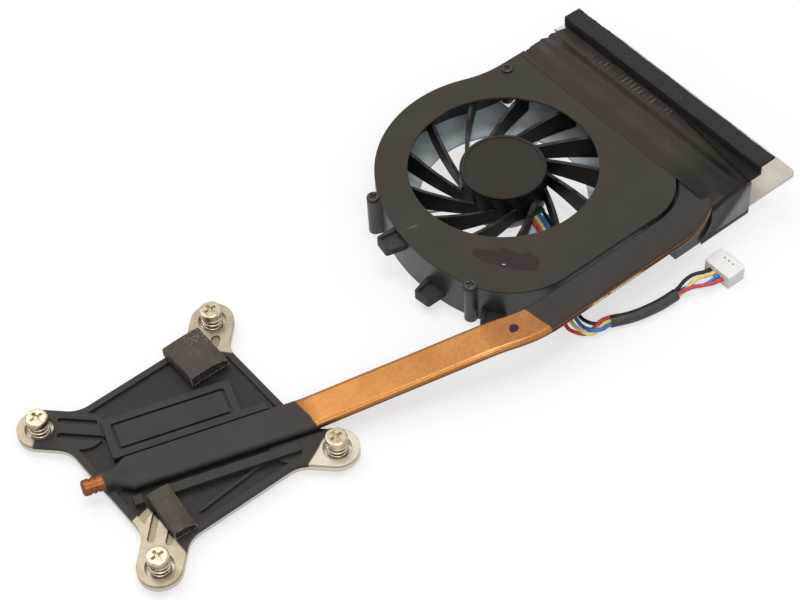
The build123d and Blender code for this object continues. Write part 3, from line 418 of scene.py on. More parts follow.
coil_tree, given, coil_keys = start_tree("coil_spring", {
    "Turns": "NodeSocketFloat", "Radius": "NodeSocketFloat", "Rise": "NodeSocketFloat",
    "Wire": "NodeSocketFloat", "Place": "NodeSocketVector"})
wind = coil_tree.nodes.new("GeometryNodeCurveSpiral")
wind.inputs["Resolution"].default_value = COIL_STEPS
section = coil_tree.nodes.new("GeometryNodeCurvePrimitiveCircle")
section.inputs["Resolution"].default_value = COIL_SIDES
body = coil_tree.nodes.new("GeometryNodeCurveToMesh")
body.inputs["Fill Caps"].default_value = True
stand = coil_tree.nodes.new("GeometryNodeTransform")
end_tree(coil_tree, stand.outputs["Geometry"], spring_steel, (
    (given.outputs["Turns"], wind.inputs["Rotations"]),
    (given.outputs["Radius"], wind.inputs["Start Radius"]),
    (given.outputs["Radius"], wind.inputs["End Radius"]),
    (given.outputs["Rise"], wind.inputs["Height"]),
    (given.outputs["Wire"], section.inputs["Radius"]),
    (wind.outputs["Curve"], body.inputs["Curve"]),
    (section.outputs["Curve"], body.inputs["Profile Curve"]),
    (body.outputs["Mesh"], stand.inputs["Geometry"]),
    (given.outputs["Place"], stand.inputs["Translation"])))
spring_rise = SPRING_TOP - SPRING_FOOT
for number, (side_x, side_y) in SCREW_SIDES.items():
    foot = Vector((side_x * SCREW_PITCH / 2, side_y * SCREW_PITCH / 2, SPRING_FOOT)) * MM
    spring = grow(f"screw_coil_{number}", coil_tree, coil_keys, {
        "Turns": SPRING_TURNS, "Radius": SPRING_R * MM, "Wire": SPRING_WIRE_R * MM,
        "Rise": (spring_rise - 2 * SPRING_WIRE_R) * MM,
        "Place": foot + Vector((0, 0, SPRING_WIRE_R * MM))}, spring_steel)
    spring.data.shade_smooth()
    stand_for(spring, f"screw_spring_{number}")
    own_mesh(spring)

# Foam pads on the plate: strips of foam in a thin dark cover, stuck on by one flat side. The cover
# bulges round the sides, and the cut foam shows at both ends.
PADS = {
    "foam_pad_far": dict(x=13.1, y=15.3, turn=0.0, width=9.4, length=10.6, height=2.9,
                         thin_near=1.5, thin_far=2.4),
    "foam_pad_near": dict(x=-13.1, y=-13.6, turn=-5.0, width=5.1, length=11.3, height=2.3,
                          thin_near=1.2, thin_far=2.0)}
PAD_FOOT, PAD_COVER, PAD_HOLLOW = 3.3, 0.13, 0.5
PAD_CORNER, PAD_CREST, PAD_SWELL = 0.4, -0.35, 0.08
PAD_STATIONS, PAD_TOP_STEPS, PAD_SHARP = 24, 14, 40
FOAM_SLOT, EDGE_SLOT, FOAM_CELLS = 1, 2, 2600.0
pad_cover, shader, spot = finish("pad_cover", Roughness=0.55, Specular_IOR_Level=0.3)
threads = spot.noise(0.0004, 4.0, (1, 0.12, 1)).fade(0.56, 0.7)
far_corner = (spot.axis("X") + spot.axis("Y")).fade(0.031, 0.0335)
flecks = spot.noise(0.0006, 4.0).fade(0.54, 0.62) * far_corner * 0.7
rub = (spot.noise(0.0009).fade(0.68, 0.73) * 0.4).most(threads * 0.22, flecks)
worn = spot.noise(0.004).fade(0.35, 0.7).mix((0.056, 0.045, 0.034), (0.074, 0.059, 0.046))
(rub * 0.6).mix(worn, (0.36, 0.33, 0.29)).into(shader, "Base Color")
dents(spot, shader, 0.5, 0.00008, spot.noise(0.0003) + threads + spot.noise(0.0025, 2.0) * 2.0,
      spot.normal())

pad_edge, shader, spot = finish("pad_cut_edge", Roughness=0.7)
frayed = spot.noise(0.0005).fade(0.38, 0.58)
frayed.mix((0.07, 0.06, 0.05), (0.5, 0.48, 0.44)).into(shader, "Base Color")

pad_foam, shader, spot = finish("pad_foam", Roughness=0.9)
cells = spot.cells(FOAM_CELLS)
cells.fade(0.25, 0.7).mix((0.003, 0.003, 0.003), (0.045, 0.042, 0.04)).into(shader, "Base Color")
dents(spot, shader, 0.9, 0.00012, cells, spot.normal())


def pad_section(width, height, thin_side, inset):
    """Section of a pad in mm: a full left side, and a crowned top that falls to a thinner right."""
    half = width / 2 - inset
    top = []
    for step in range(PAD_TOP_STEPS + 1):
        across = -1 + 2 * step / PAD_TOP_STEPS
        fall = max(0.0, (across - PAD_CREST) / (1 - PAD_CREST)) ** 2.2
        shoulder = max(0.0, PAD_CREST - across) ** 1.2
        rise = height - (height - thin_side) * fall - 0.3 * shoulder
        top.append((across * (half - 0.12), rise - inset))
    return [(-half + PAD_CORNER * 0.3, inset), (-half, PAD_CORNER * 0.6 + inset),
            (-half, top[0][1] - PAD_CORNER), *top, (half, max(inset, top[-1][1] - 0.3)),
            (half - 0.1, inset)]


def join_rings(shape, rings):
    """Faces between rings of points that follow each other."""
    for first, second in zip(rings, rings[1:]):
        for i in range(len(first)):
            j = (i + 1) % len(first)
            shape.faces.new((first[i], first[j], second[j], second[i]))


def made_mesh(name, shape, seat=Matrix()):
    """A mesh in metres from a shape in mm, moved to its seat."""
    mesh = bpy.data.meshes.new(name)
    shape.to_mesh(mesh)
    shape.free()
    mesh.transform(Matrix.Scale(MM, 4) @ seat)
    return mesh


def soften(mesh, angle):
    """Smooth shading, apart from edges sharper than so many degrees."""
    mesh.set_sharp_from_angle(angle=math.radians(angle))
    for face in mesh.polygons:
        face.use_smooth = True


for node, sizes in PADS.items():
    width, length, height = sizes["width"], sizes["length"], sizes["height"]
    thin_gain = sizes["thin_far"] - sizes["thin_near"]
    shape = bmesh.new()
    loops, rims = [], []
    for station in range(PAD_STATIONS + 1):
        along = length * (station / PAD_STATIONS - 0.5)
        thin_side = sizes["thin_near"] + thin_gain * station / PAD_STATIONS
        layers = [(0.0, loops)]
        if station in (0, PAD_STATIONS):
            layers.append((PAD_COVER, rims))
        for inset, rings in layers:
            ring = []
            for across, rise in pad_section(width, height, thin_side, inset):
                swell = PAD_SWELL * rise / height * (math.sin(along * 1.1 + across * 0.5) - 1)
                ring.append(shape.verts.new((across, along, rise + swell)))
            rings.append(ring)
    join_rings(shape, loops)
    for loop, rim, way in ((loops[0], rims[0], 1), (loops[-1], rims[1], -1)):
        sunk = [shape.verts.new(v.co + Vector((0, PAD_HOLLOW * way, 0))) for v in rim]
        for i in range(len(rim)):
            j = (i + 1) % len(rim)
            shape.faces.new((loop[i], rim[i], rim[j], loop[j])).material_index = EDGE_SLOT
            shape.faces.new((rim[i], sunk[i], sunk[j], rim[j])).material_index = FOAM_SLOT
        shape.faces.new(sunk).material_index = FOAM_SLOT
    bmesh.ops.recalc_face_normals(shape, faces=shape.faces)
    mesh = made_mesh(node + "_wrap", shape, Matrix.Translation(
        (sizes["x"], sizes["y"], PAD_FOOT)) @ Matrix.Rotation(math.radians(sizes["turn"]), 4, "Z"))
    for layer in (pad_cover, pad_foam, pad_edge):
        mesh.materials.append(layer)
    soften(mesh, PAD_SHARP)
    pad = put(node + "_wrap", mesh)
    stand_for(pad, node)

# Heat pipe: a copper tube pressed flat, with a round neck and a crimped tip. It is sprayed black
# with the plate and again along the fan, where its bare side carries a painted highlight strip over
# painted shade. The bare copper between shows handling marks and a dot of purple ink.
PIPE_TURN, NUB_WAY, FAN_PAINT_WAY = 17.8, (0.9521, -0.3057), (0.989, 0.149)
DOT_MIDDLE, DOT_INK = (0.066, -0.026), (0.05, 0.006, 0.03)
COPPER, COPPER_DULL, COPPER_SPOTS = (0.46, 0.205, 0.068), (0.38, 0.16, 0.052), (0.27, 0.1, 0.035)
COPPER_GLINT, COPPER_NEAR_PLATE = (0.62, 0.33, 0.13), (0.25, 0.105, 0.028)
COPPER_UNDER_SHADE, COPPER_TIP = (0.17, 0.056, 0.021), (0.17, 0.055, 0.026)
COPPER_FAN_SIDE_SHADE, COPPER_SIDE_HIGHLIGHT = (0.055, 0.025, 0.013), (0.95, 0.74, 0.48)
PIPE_PAINT, PIPE_WORN, DUST = (0.031, 0.0243, 0.0185), (0.038, 0.0303, 0.0232), (0.2, 0.18, 0.16)


def squared_reach(x, y, middle):
    """Square of the distance from a point, seen from above."""
    run, aside = x - middle[0], y - middle[1]
    return run * run + aside * aside


pipe_finish, shader, spot = finish("pipe_copper", Specular_IOR_Level=0.3)
x, y = spot.axis("X"), spot.axis("Y")
facing_up = spot.normal().axis("Z")
wander = (spot.noise(0.003) - 0.5) * 0.0009
fan_end = (x * FAN_PAINT_WAY[0] + y * FAN_PAINT_WAY[1] + wander).fade(0.0663, 0.0667)
plate_end = (x - y * 0.028 + wander).fade(0.0223, 0.0219)
beyond_tip = (x * NUB_WAY[0] + y * NUB_WAY[1] + wander).fade(-0.0193, -0.0189)
top_only = (facing_up + wander * 60.0).fade(0.5, 0.62)
painted = (fan_end * top_only).most(plate_end * beyond_tip)
stain = spot.noise(0.006, 5.0)
copper = stain.fade(0.3, 0.75).mix(COPPER, COPPER_DULL)
copper = (spot.noise(0.0011, 5.0).fade(0.42, 0.75) * 0.4).mix(copper, COPPER_SPOTS)
copper = (spot.noise(0.00035).fade(0.45, 0.7) * 0.22).mix(copper, COPPER_GLINT)
copper = (x.fade(0.06, 0.046) * 0.5).mix(copper, COPPER_NEAR_PLATE)
# Faces that turn downwards are painted dark brown: painted shade under the pipe.
copper = (facing_up.fade(0.35, 0.1) * 0.9).mix(copper, COPPER_UNDER_SHADE)
copper = ((1 - beyond_tip) * 0.7).mix(copper, COPPER_TIP)
# Along the fan the side below the painted top is painted near black: painted shade.
copper = (fan_end * facing_up.fade(0.57, 0.42) * 0.95).mix(copper, COPPER_FAN_SIDE_SHADE)
# A narrow band on the side along the fan is painted pale: a painted highlight strip.
side_highlight = facing_up.fade(0.3, 0.22) * facing_up.fade(-0.06, 0.04)
side_highlight = side_highlight * x.fade(0.0815, 0.0835) * x.fade(0.0985, 0.0955)
side_highlight = fan_end * side_highlight * spot.noise(0.0014).fade(0.3, 0.45)
copper = side_highlight.mix(copper, COPPER_SIDE_HIGHLIGHT)
paint = (spot.noise(0.008, 4.0).fade(0.35, 0.7) * 0.8).mix(PIPE_PAINT, PIPE_WORN)
paint = (spot.noise(0.0004, 2.0).fade(0.72, 0.78) * 0.16).mix(paint, DUST)
blot = (spot.noise(0.0016, 1.0) - 0.5) * 0.0000032
dot = (squared_reach(x, y, DOT_MIDDLE) + blot).fade(1.25e-6, 1.0e-6)
face = painted.mix(copper, paint)
(dot * facing_up.fade(0.5, 0.6)).mix(face, DOT_INK).into(shader, "Base Color")
(1 - painted.most(dot)).into(shader, "Metallic")
(0.21 + painted * 0.25 + stain * 0.1).into(shader, "Roughness")
along_pipe = spot.node("ShaderNodeMapping", {}, {
    "Vector": spot, "Rotation": (0, 0, math.radians(PIPE_TURN))})
streaks = along_pipe.noise(0.0006, 4.0, (0.06, 1, 1))
dents(spot, shader, 0.2, 0.00004, streaks * 0.5 + spot.noise(0.0004, 2.0) * 0.6 + stain * 2.0,
      rounded(spot, 0.0001))
dress(pipe_finish, "heat_pipe")

# Base plate and motor: a pressed sheet of zinc-coated steel carries the bearing tube, the wound
# stator and its small board, all under the hub.
ZINC_PAINTED_LIGHT, ZINC_DULL_PAINTED_LIGHT, ZINC_STAIN = (0.75, 0.85, 0.91), (0.66, 0.77, 0.84), (0.5, 0.47, 0.42)
LIP, LIP_DULL = (0.66, 0.62, 0.55), (0.58, 0.53, 0.46)
sheet_finish, shader, spot = finish("zinc_sheet")
rolled = spot.noise(0.0005, 4.0, (0.08, 1, 1))
lip = spot.axis("X").fade(0.12, 0.126)
# The inner zinc tones are painted far lighter than zinc-coated steel: painted light under the
# cover.
tone = spot.cells(420.0).fade(0.1, 0.7).mix(ZINC_PAINTED_LIGHT, ZINC_DULL_PAINTED_LIGHT)
tone = lip.mix(tone, spot.noise(0.005, 4.0).fade(0.35, 0.7).mix(LIP, LIP_DULL))
(spot.noise(0.004, 4.0).fade(0.5, 0.8) * 0.5).mix(tone, ZINC_STAIN).into(shader, "Base Color")
(0.34 + rolled * 0.16).into(shader, "Roughness")
(lip * 0.35).into(shader, "Metallic")
dents(spot, shader, 0.15, 0.00002, rolled, rounded(spot, 0.00012))
dress(sheet_finish, "base_plate")

motor_steel, shader, spot = finish("motor_steel", Metallic=1.0, Roughness=0.35)
layers = spot.bands("Z", 900.0)
layers.mix((0.42, 0.41, 0.4), (0.56, 0.55, 0.53)).into(shader, "Base Color")
dents(spot, shader, 0.4, 0.00003, layers, rounded(spot, 0.00008))
dress(motor_steel, "stator_core", "rotor_yoke", "fan_shaft", "connector_terminals")

magnet_finish, shader, spot = mottled("ferrite", 0.0006, (0.03, 0.03, 0.032), (0.06, 0.06, 0.062),
                                      Roughness=0.6)
rounded(spot, 0.0001).into(shader, "Normal")
dress(magnet_finish, "rotor_magnet")

bronze, shader, spot = mottled("bearing_bronze", 0.0005, (0.72, 0.56, 0.3), (0.55, 0.4, 0.2),
                               Metallic=1.0, Roughness=0.38)
rounded(spot, 0.00008).into(shader, "Normal")
dress(bronze, "bearing_holder", "bearing_sleeve")

winding, shader, spot = finish("enamel_wire", Metallic=1.0, Roughness=0.3)
lay = spot.bands("DIAGONAL", 1100.0)
lay.mix((0.5, 0.2, 0.07), (0.76, 0.36, 0.15)).into(shader, "Base Color")
dents(spot, shader, 0.7, 0.00005, lay, rounded(spot, 0.0002))
dress(winding, "stator_coils")

board_finish, shader, spot = finish("board_green", Roughness=0.4)
traces = spot.cells(700.0, "DISTANCE_TO_EDGE").fade(0.06, 0.1)
traces.mix((0.035, 0.11, 0.05), (0.018, 0.06, 0.03)).into(shader, "Base Color")
dents(spot, shader, 0.3, 0.00003, traces, rounded(spot, 0.0001))
dress(board_finish, "motor_board")

# Impeller: one moulding of satin black plastic, a hub cup with thirteen swept blades, pushed on the
# rotor's steel yoke. What faces up is coloured lighter and greyer, and the rest is deep black.
BLADE_BLACK, BLADE_HAZE = (0.006, 0.006, 0.006), (0.012, 0.0115, 0.011)
BLADE_UPPER_TONE, HUB_UPPER_TONE = (0.062, 0.056, 0.05), (0.044, 0.0355, 0.0275)
moulded, shader, spot = finish("wheel_plastic", Specular_IOR_Level=0.08)
haze = spot.noise(0.004, 5.0)
hub = squared_reach(spot.axis("X"), spot.axis("Y"), FAN_AXIS).fade(1.02e-4, 0.98e-4)
upward = spot.normal().axis("Z").fade(0.3, 0.8)
vanes = haze.fade(0.4, 0.8).mix(BLADE_BLACK, BLADE_HAZE)
vanes = (upward * haze.fade(0.25, 0.65)).mix(vanes, BLADE_UPPER_TONE)
(hub * upward).mix(vanes, HUB_UPPER_TONE).into(shader, "Base Color")
(0.34 + haze * 0.14).into(shader, "Roughness")
dents(spot, shader, 0.12, 0.00003, spot.noise(0.00025, 2.0), rounded(spot, 0.00022))
dress(moulded, "impeller", "thrust_pad")

# Fan housing and rubber mounts: a moulded wall of black plastic with screw posts, and three soft
# rubber blocks pushed on its tabs.
wall_plastic, shader, spot = finish("wall_plastic", Specular_IOR_Level=0.65)
haze = spot.noise(0.005, 4.0)
haze.fade(0.35, 0.75).mix((0.027, 0.027, 0.028), (0.046, 0.0458, 0.046)).into(shader, "Base Color")
(0.3 + haze * 0.12).into(shader, "Roughness")
dents(spot, shader, 0.12, 0.00003, spot.noise(0.0003, 2.0), rounded(spot, 0.0002))
dress(wall_plastic, "fan_housing")

soft_rubber, shader, spot = finish("mount_rubber", Roughness=0.62)
bloom = spot.noise(0.0016, 4.0).fade(0.4, 0.8)
bloom.mix((0.011, 0.011, 0.011), (0.03, 0.03, 0.03)).into(shader, "Base Color")
dents(spot, shader, 0.25, 0.00005, spot.noise(0.0003), rounded(spot, 0.0003))
dress(soft_rubber, "rubber_mount_1", "rubber_mount_2", "rubber_mount_3")

# Fan cover: a thin stamped sheet in the same satin black as the pipe, with a stain left by an old
# sticker beside the inlet and a light scuff near its edge. Three small dark screws hold it.
STAIN_MIDDLE, STAIN_WAY = (0.0768, -0.0104), (0.677, -0.737)
SPECK_MIDDLE, SPECK_WAY = (0.0756, -0.0116), (0.7, -0.7)
SCUFF_MIDDLE, SCUFF_WAY = (0.0671, 0.0096), (0.972, -0.234)
COVER_PAINT, COVER_WORN = (0.038, 0.0285, 0.0205), (0.046, 0.0352, 0.0258)
COVER_STAIN, COVER_BARE = (0.0215, 0.0118, 0.0092), (0.72, 0.69, 0.66)


def turned(x, y, middle, way):
    """Distances from a point along a direction and across it, seen from above."""
    run, aside = x - middle[0], y - middle[1]
    return run * way[0] + aside * way[1], aside * way[0] - run * way[1]


cover_finish, shader, spot = finish("cover_paint", Specular_IOR_Level=0.25)
x, y = spot.axis("X"), spot.axis("Y")
cloud = spot.noise(0.009, 4.0)
ragged = (spot.noise(0.0032) - 0.5) * 0.0034
run, aside = turned(x, y, STAIN_MIDDLE, STAIN_WAY)
girth = (aside + ragged * 0.7 + run * 0.1).size() - run * 0.09
stain = (run * run * 22.0 + girth + ragged * 0.3).fade(0.0027, 0.0023)
stain = stain * (run + ragged).size().fade(0.0077, 0.0072)
run, aside = turned(x, y, SPECK_MIDDLE, SPECK_WAY)
speck = (run.size() * 0.7 + aside.size() * 2.0 + ragged * 0.25).fade(0.00045, 0.00032)
run, aside = turned(x, y, SCUFF_MIDDLE, SCUFF_WAY)
scuff = run.size().fade(0.0024, 0.0012) * (aside + ragged * 0.08).size().fade(0.00022, 0.00008)
scuff = scuff * spot.noise(0.0006).fade(0.45, 0.6)
paint = (cloud.fade(0.35, 0.7) * 0.8).mix(COVER_PAINT, COVER_WORN)
paint = (stain * 0.9).mix(paint, COVER_STAIN)
paint = (spot.noise(0.0004, 2.0).fade(0.73, 0.79) * 0.16).mix(paint, DUST)
speck.most(scuff * 0.2).mix(paint, COVER_BARE).into(shader, "Base Color")
(0.46 + cloud * 0.08 - stain * 0.12).into(shader, "Roughness")
dents(spot, shader, 0.16, 0.00003, spot.noise(0.0003, 2.0) + stain * 0.4, rounded(spot, 0.00012))
dress(cover_finish, "fan_cover")

screw_black, shader, spot = finish("screw_black", Metallic=1.0)
blued = spot.noise(0.0005, 4.0)
blued.fade(0.3, 0.8).mix((0.05, 0.05, 0.052), (0.11, 0.103, 0.095)).into(shader, "Base Color")
(0.24 + blued * 0.16).into(shader, "Roughness")
rounded(spot, 0.00008).into(shader, "Normal")
dress(screw_black, "cover_screws")

# Fin stack: folded aluminium fins side by side, each with bent flanges that make the skins above
# and below, and a step that leaves room for the pipe.
FIN_X0, FIN_X1, FIN_STEP_X, FIN_LOW_X1 = 122.2, 135.0, 131.95, 132.25
FIN_FOOT, FIN_LOW, FIN_TOP, FIN_THICK, FIN_GAP = 0.6, 7.95, 10.45, 0.2, 0.03
FIN_Y0, FIN_Y1, FIN_COUNT, FIN_LOW_COUNT = -28.3, 34.9, 49, 5
fin_pitch = (FIN_Y1 - FIN_Y0 - FIN_THICK) / (FIN_COUNT - 1)
fin_metal, shader, spot = finish("fin_metal", Metallic=1.0)
grain = spot.noise(0.0004, 4.0, (1, 1, 0.1))
grain.fade(0.25, 0.8).mix((0.76, 0.76, 0.75), (0.6, 0.6, 0.59)).into(shader, "Base Color")
(0.3 + grain * 0.14).into(shader, "Roughness")
dents(spot, shader, 0.12, 0.00002, grain, spot.normal())


def folded_fin(name, outline, flanges):
    """One fin in mm: a flat leaf with its outline, and flanges that reach to the next fin."""
    fold = bmesh.new()
    near = [fold.verts.new((x, 0, z)) for x, z in outline]
    far = [fold.verts.new((x, FIN_THICK, z)) for x, z in outline]
    fold.faces.new(near)
    fold.faces.new(far[::-1])
    for i, corner in enumerate(near):
        j = (i + 1) % len(near)
        fold.faces.new((corner, far[i], far[j], near[j]))
    reach = fin_pitch - FIN_GAP - FIN_THICK
    for x0, x1, z0, z1 in flanges:
        for vert in bmesh.ops.create_cube(fold, size=1.0)["verts"]:
            share = vert.co + Vector((0.5, 0.5, 0.5))
            vert.co = (x0 + share.x * (x1 - x0), FIN_THICK + share.y * reach,
                       z0 + share.z * (z1 - z0))
    bmesh.ops.recalc_face_normals(fold, faces=fold.faces)
    return made_mesh(name, fold)


fin_skin = FIN_FOOT + FIN_THICK
low_fin = bpy.data.objects.new("low_fin", folded_fin(
    "low_fin",
    ((FIN_X0, FIN_FOOT), (FIN_LOW_X1, FIN_FOOT), (FIN_LOW_X1, FIN_LOW), (FIN_X0, FIN_LOW)),
    ((FIN_X0, FIN_LOW_X1, FIN_FOOT, fin_skin),
     (FIN_X0, FIN_LOW_X1, FIN_LOW - FIN_THICK, FIN_LOW))))
deep_fin = folded_fin(
    "deep_fin",
    ((FIN_X0, FIN_FOOT), (FIN_X1, FIN_FOOT), (FIN_X1, FIN_TOP), (FIN_STEP_X, FIN_TOP),
     (FIN_STEP_X, FIN_LOW), (FIN_X0, FIN_LOW)),
    ((FIN_X0, FIN_X1, FIN_FOOT, fin_skin), (FIN_X0, FIN_STEP_X, FIN_LOW - FIN_THICK, FIN_LOW),
     (FIN_STEP_X, FIN_STEP_X + FIN_THICK, FIN_LOW, FIN_TOP),
     (FIN_STEP_X, FIN_X1, FIN_TOP - FIN_THICK, FIN_TOP)))
row_tree, given, row_keys = start_tree("fin_row", {
    "Low Fin": "NodeSocketObject", "Low Count": "NodeSocketInt", "Low Start": "NodeSocketVector",
    "Deep Count": "NodeSocketInt", "Deep Start": "NodeSocketVector", "Pitch": "NodeSocketVector"})
low_shape = row_tree.nodes.new("GeometryNodeObjectInfo")
rows_joined = row_tree.nodes.new("GeometryNodeJoinGeometry")
row_links = [(given.outputs["Low Fin"], low_shape.inputs["Object"])]
for kind, fin in (("Low", low_shape.outputs["Geometry"]), ("Deep", given.outputs["Geometry"])):
    row = row_tree.nodes.new("GeometryNodeMeshLine")
    row.mode = "OFFSET"
    copies = row_tree.nodes.new("GeometryNodeInstanceOnPoints")
    row_links += [(given.outputs[kind + " Count"], row.inputs["Count"]),
                  (given.outputs["Pitch"], row.inputs["Offset"]),
                  (given.outputs[kind + " Start"], row.inputs["Start Location"]),
                  (row.outputs["Mesh"], copies.inputs["Points"]),
                  (fin, copies.inputs["Instance"]),
                  (copies.outputs["Instances"], rows_joined.inputs["Geometry"])]
end_tree(row_tree, rows_joined.outputs["Geometry"], fin_metal, row_links)
fins = grow("folded_fins", row_tree, row_keys, {
    "Low Fin": low_fin, "Low Count": FIN_LOW_COUNT, "Low Start": (0, FIN_Y0 * MM, 0),
    "Deep Count": FIN_COUNT - FIN_LOW_COUNT,
    "Deep Start": (0, (FIN_Y0 + FIN_LOW_COUNT * fin_pitch) * MM, 0),
    "Pitch": (0, fin_pitch * MM, 0)}, fin_metal, deep_fin)
bpy.data.objects.remove(low_fin)
stand_for(fins, "fin_stack")

# Sealing film: a thin dark plastic film stuck on the cover's edge, the pipe and the fins, and
# folded down over the near end. It rises softly over the pipe and is creased at its far end.
FILM_X0, FILM_X1, FILM_Y0, FILM_Y1 = 120.4, 135.15, -28.75, 35.3
FILM_FOOT, FILM_THICK, FILM_LIFT, FILM_HEM, FILM_FOLD_R = 10.45, 0.05, 0.06, 0.08, 1.1
FILM_WRAP_X, FILM_FLARE, FILM_BULGE = 132.5, 2.6, 0.12
CREST, CREST_X0, CREST_X, CREST_X1 = 0.75, 122.4, 127.8, 131.4
RIPPLE, RIPPLE_X, IMPRINT, IMPRINT_X = 0.05, 126.0, 0.025, 133.2
CREASE, CREASE_Y, CREASE_RUN = 0.22, 28.5, 6.8
ACROSS_STEPS, ALONG_STEPS, FOLD_STEPS, DOWN_STEPS = 64, 200, 8, 22
FILM_TONE, FILM_WIPED = (0.036, 0.0262, 0.0168), (0.0435, 0.0328, 0.0215)
FILM_NEAR_END_SHADE, FILM_ON_FINS = (0.0115, 0.0062, 0.0015), (0.05, 0.041, 0.034)
FILM_STEP_LINE, FILM_DASHES, FILM_HAIR = (0.1, 0.085, 0.07), (0.24, 0.21, 0.18), (0.22, 0.19, 0.16)
FILM_SHEEN, FILM_SHEEN_DULL = (0.26, 0.27, 0.285), (0.19, 0.2, 0.21)
FILM_HEM_TONE = (0.01, 0.009, 0.008)
HAIR_MIDDLE, HAIR_WAY, HAIR_BEAT, HAIR_SWING = (0.1258, -0.009), (0.585, 0.811), 1900.0, 0.0004
SHEEN_SLANT, SHEEN_X0, SHEEN_RUN, SHEEN_RISE = 1.1, 120.55, 10.85, 9.7
film_finish, shader, spot = finish("film_plastic", Specular_IOR_Level=0.22)
x, y, z = (spot.axis(letter) for letter in "XYZ")
wipe = spot.noise(0.007, 4.0)
tint = (wipe.fade(0.35, 0.75) * 0.8).mix(FILM_TONE, FILM_WIPED)
# The film's near end is painted darker: painted shade.
tint = (y.fade(-0.01, -0.022) * 0.95).mix(tint, FILM_NEAR_END_SHADE)
on_fins = (x + (wipe - 0.5) * 0.0006).fade(0.1312, 0.1315)
tint = (on_fins * 0.6 * y.fade(-0.02, 0.0)).mix(tint, FILM_ON_FINS)
step_line = (x - 0.1313).size().fade(0.00018, 0.00006) * y.fade(-0.004, 0.016)
tint = (step_line * 0.35).mix(tint, FILM_STEP_LINE)
beat = (y - FIN_Y0 * MM) * (2 * math.pi / (fin_pitch * MM))
dashes = beat.sine().fade(0.5, 0.95) * spot.noise(0.0022).fade(0.38, 0.62)
dashes = dashes * x.fade(0.1319, 0.1323) * x.fade(0.1342, 0.1336)
dashes = dashes * y.fade(-0.004, 0.0) * y.fade(0.026, 0.022)
tint = (dashes * 0.6).mix(tint, FILM_DASHES)
run, aside = turned(x, y, HAIR_MIDDLE, HAIR_WAY)
hair = (aside + (run * HAIR_BEAT).sine() * HAIR_SWING).size().fade(0.0001, 0.00004)
hair = hair * run.size().fade(0.0024, 0.0018)
tint = (hair * 0.3).mix(tint, FILM_HAIR)
on_end = y.fade(-0.0282, -0.0285)
slope = x * (SHEEN_SLANT / (SHEEN_RUN * MM)) - z * (1 / (SHEEN_RISE * MM))
sheen = (slope - (SHEEN_SLANT * SHEEN_X0 / SHEEN_RUN + 0.02)).fade(-0.06, 0.3)
sheen_tone = spot.noise(0.004, 4.0).fade(0.3, 0.7).mix(FILM_SHEEN, FILM_SHEEN_DULL)
tint = (sheen * on_end).mix(tint, sheen_tone)
tint = (z.fade(0.0014, 0.0012) * on_end).mix(tint, FILM_HEM_TONE)
(spot.noise(0.0005, 2.0).fade(0.74, 0.8) * 0.25).mix(tint, DUST).into(shader, "Base Color")
(0.27 + wipe * 0.1).into(shader, "Roughness")
dents(spot, shader, 0.1, 0.00004, spot.noise(0.0006) + hair, spot.normal())


def ease(value, start, end):
    """0 up to start and 1 from end on, smooth between."""
    share = min(1.0, max(0.0, (value - start) / (end - start)))
    return share * share * (3 - 2 * share)


def film_lift(x, y):
    """Height of the film over its seat in mm: a rise over the pipe, creases at the far end."""
    over_pipe = CREST * (ease(x, CREST_X0, CREST_X) - ease(x, CREST_X, CREST_X1))
    ripple = RIPPLE * math.sin(0.5 * y + 0.3 * x) * math.exp(-((x - RIPPLE_X) / 3.0) ** 2)
    imprint = IMPRINT * math.cos(math.pi * (y - FIN_Y0) / fin_pitch)
    imprint *= math.exp(-((x - IMPRINT_X) / 0.8) ** 2)
    crease = max(0.0, (y - CREASE_Y) / CREASE_RUN) * CREASE
    crease *= math.sin(1.7 * x) + math.sin(0.9 * x + 1.0)
    near_end = 1 - ease(y, FILM_Y0, FILM_Y0 + 6.0)
    droop = near_end * (0.9 * (1 - ease(x, FILM_X0, 125.0)) + 0.5 * (over_pipe + 0.1))
    loose = ease(x, FILM_X0, FILM_X0 + 1.2) * (1 - ease(x, 130.6, CREST_X1)) * (ripple + crease)
    return FILM_LIFT + over_pipe + imprint + loose - droop * (1 - ease(x, 130.4, CREST_X1))


def film_end(x):
    """The uneven far edge of the film."""
    return FILM_Y1 - 0.3 * (1 + math.sin(0.9 * x)) - 0.25 * max(0.0, math.sin(2.3 * x + 1.0))


film = bmesh.new()
columns = [FILM_X0 + (FILM_X1 - FILM_X0) * i / ACROSS_STEPS for i in range(ACROSS_STEPS + 1)]
wrapped = sum(x <= FILM_WRAP_X for x in columns)
rows = []
for step in range(ALONG_STEPS + 1):
    row = []
    for x in columns:
        y = film_end(x) + (FILM_Y0 + FILM_FOLD_R - film_end(x)) * step / ALONG_STEPS
        row.append(film.verts.new((x, y, FILM_FOOT + film_lift(x, y))))
    rows.append(row)
flap = rows[-1][wrapped:]
for step in range(1, FOLD_STEPS + DOWN_STEPS + 1):
    turn = math.radians(90 * min(1.0, step / FOLD_STEPS))
    fall = max(0.0, (step - FOLD_STEPS) / DOWN_STEPS)
    row = []
    for x in columns[:wrapped]:
        y = FILM_Y0 + FILM_FOLD_R * (1 - math.sin(turn))
        top = FILM_FOOT + film_lift(x, y) - FILM_FOLD_R * (1 - math.cos(turn))
        bulge = FILM_BULGE * math.sin(math.pi * fall) * math.sin(0.55 * (x - FILM_X0))
        flare = FILM_FLARE * ease(fall, 0.3, 0.95) * (1 - ease(x, FILM_X0, 126.0))
        row.append(film.verts.new((x - flare, y + bulge, top + (FILM_HEM - top) * fall)))
    rows.append(row)
for first, second in zip(rows, rows[1:]):
    for i in range(min(len(first), len(second)) - 1):
        film.faces.new((first[i], second[i], second[i + 1], first[i + 1]))
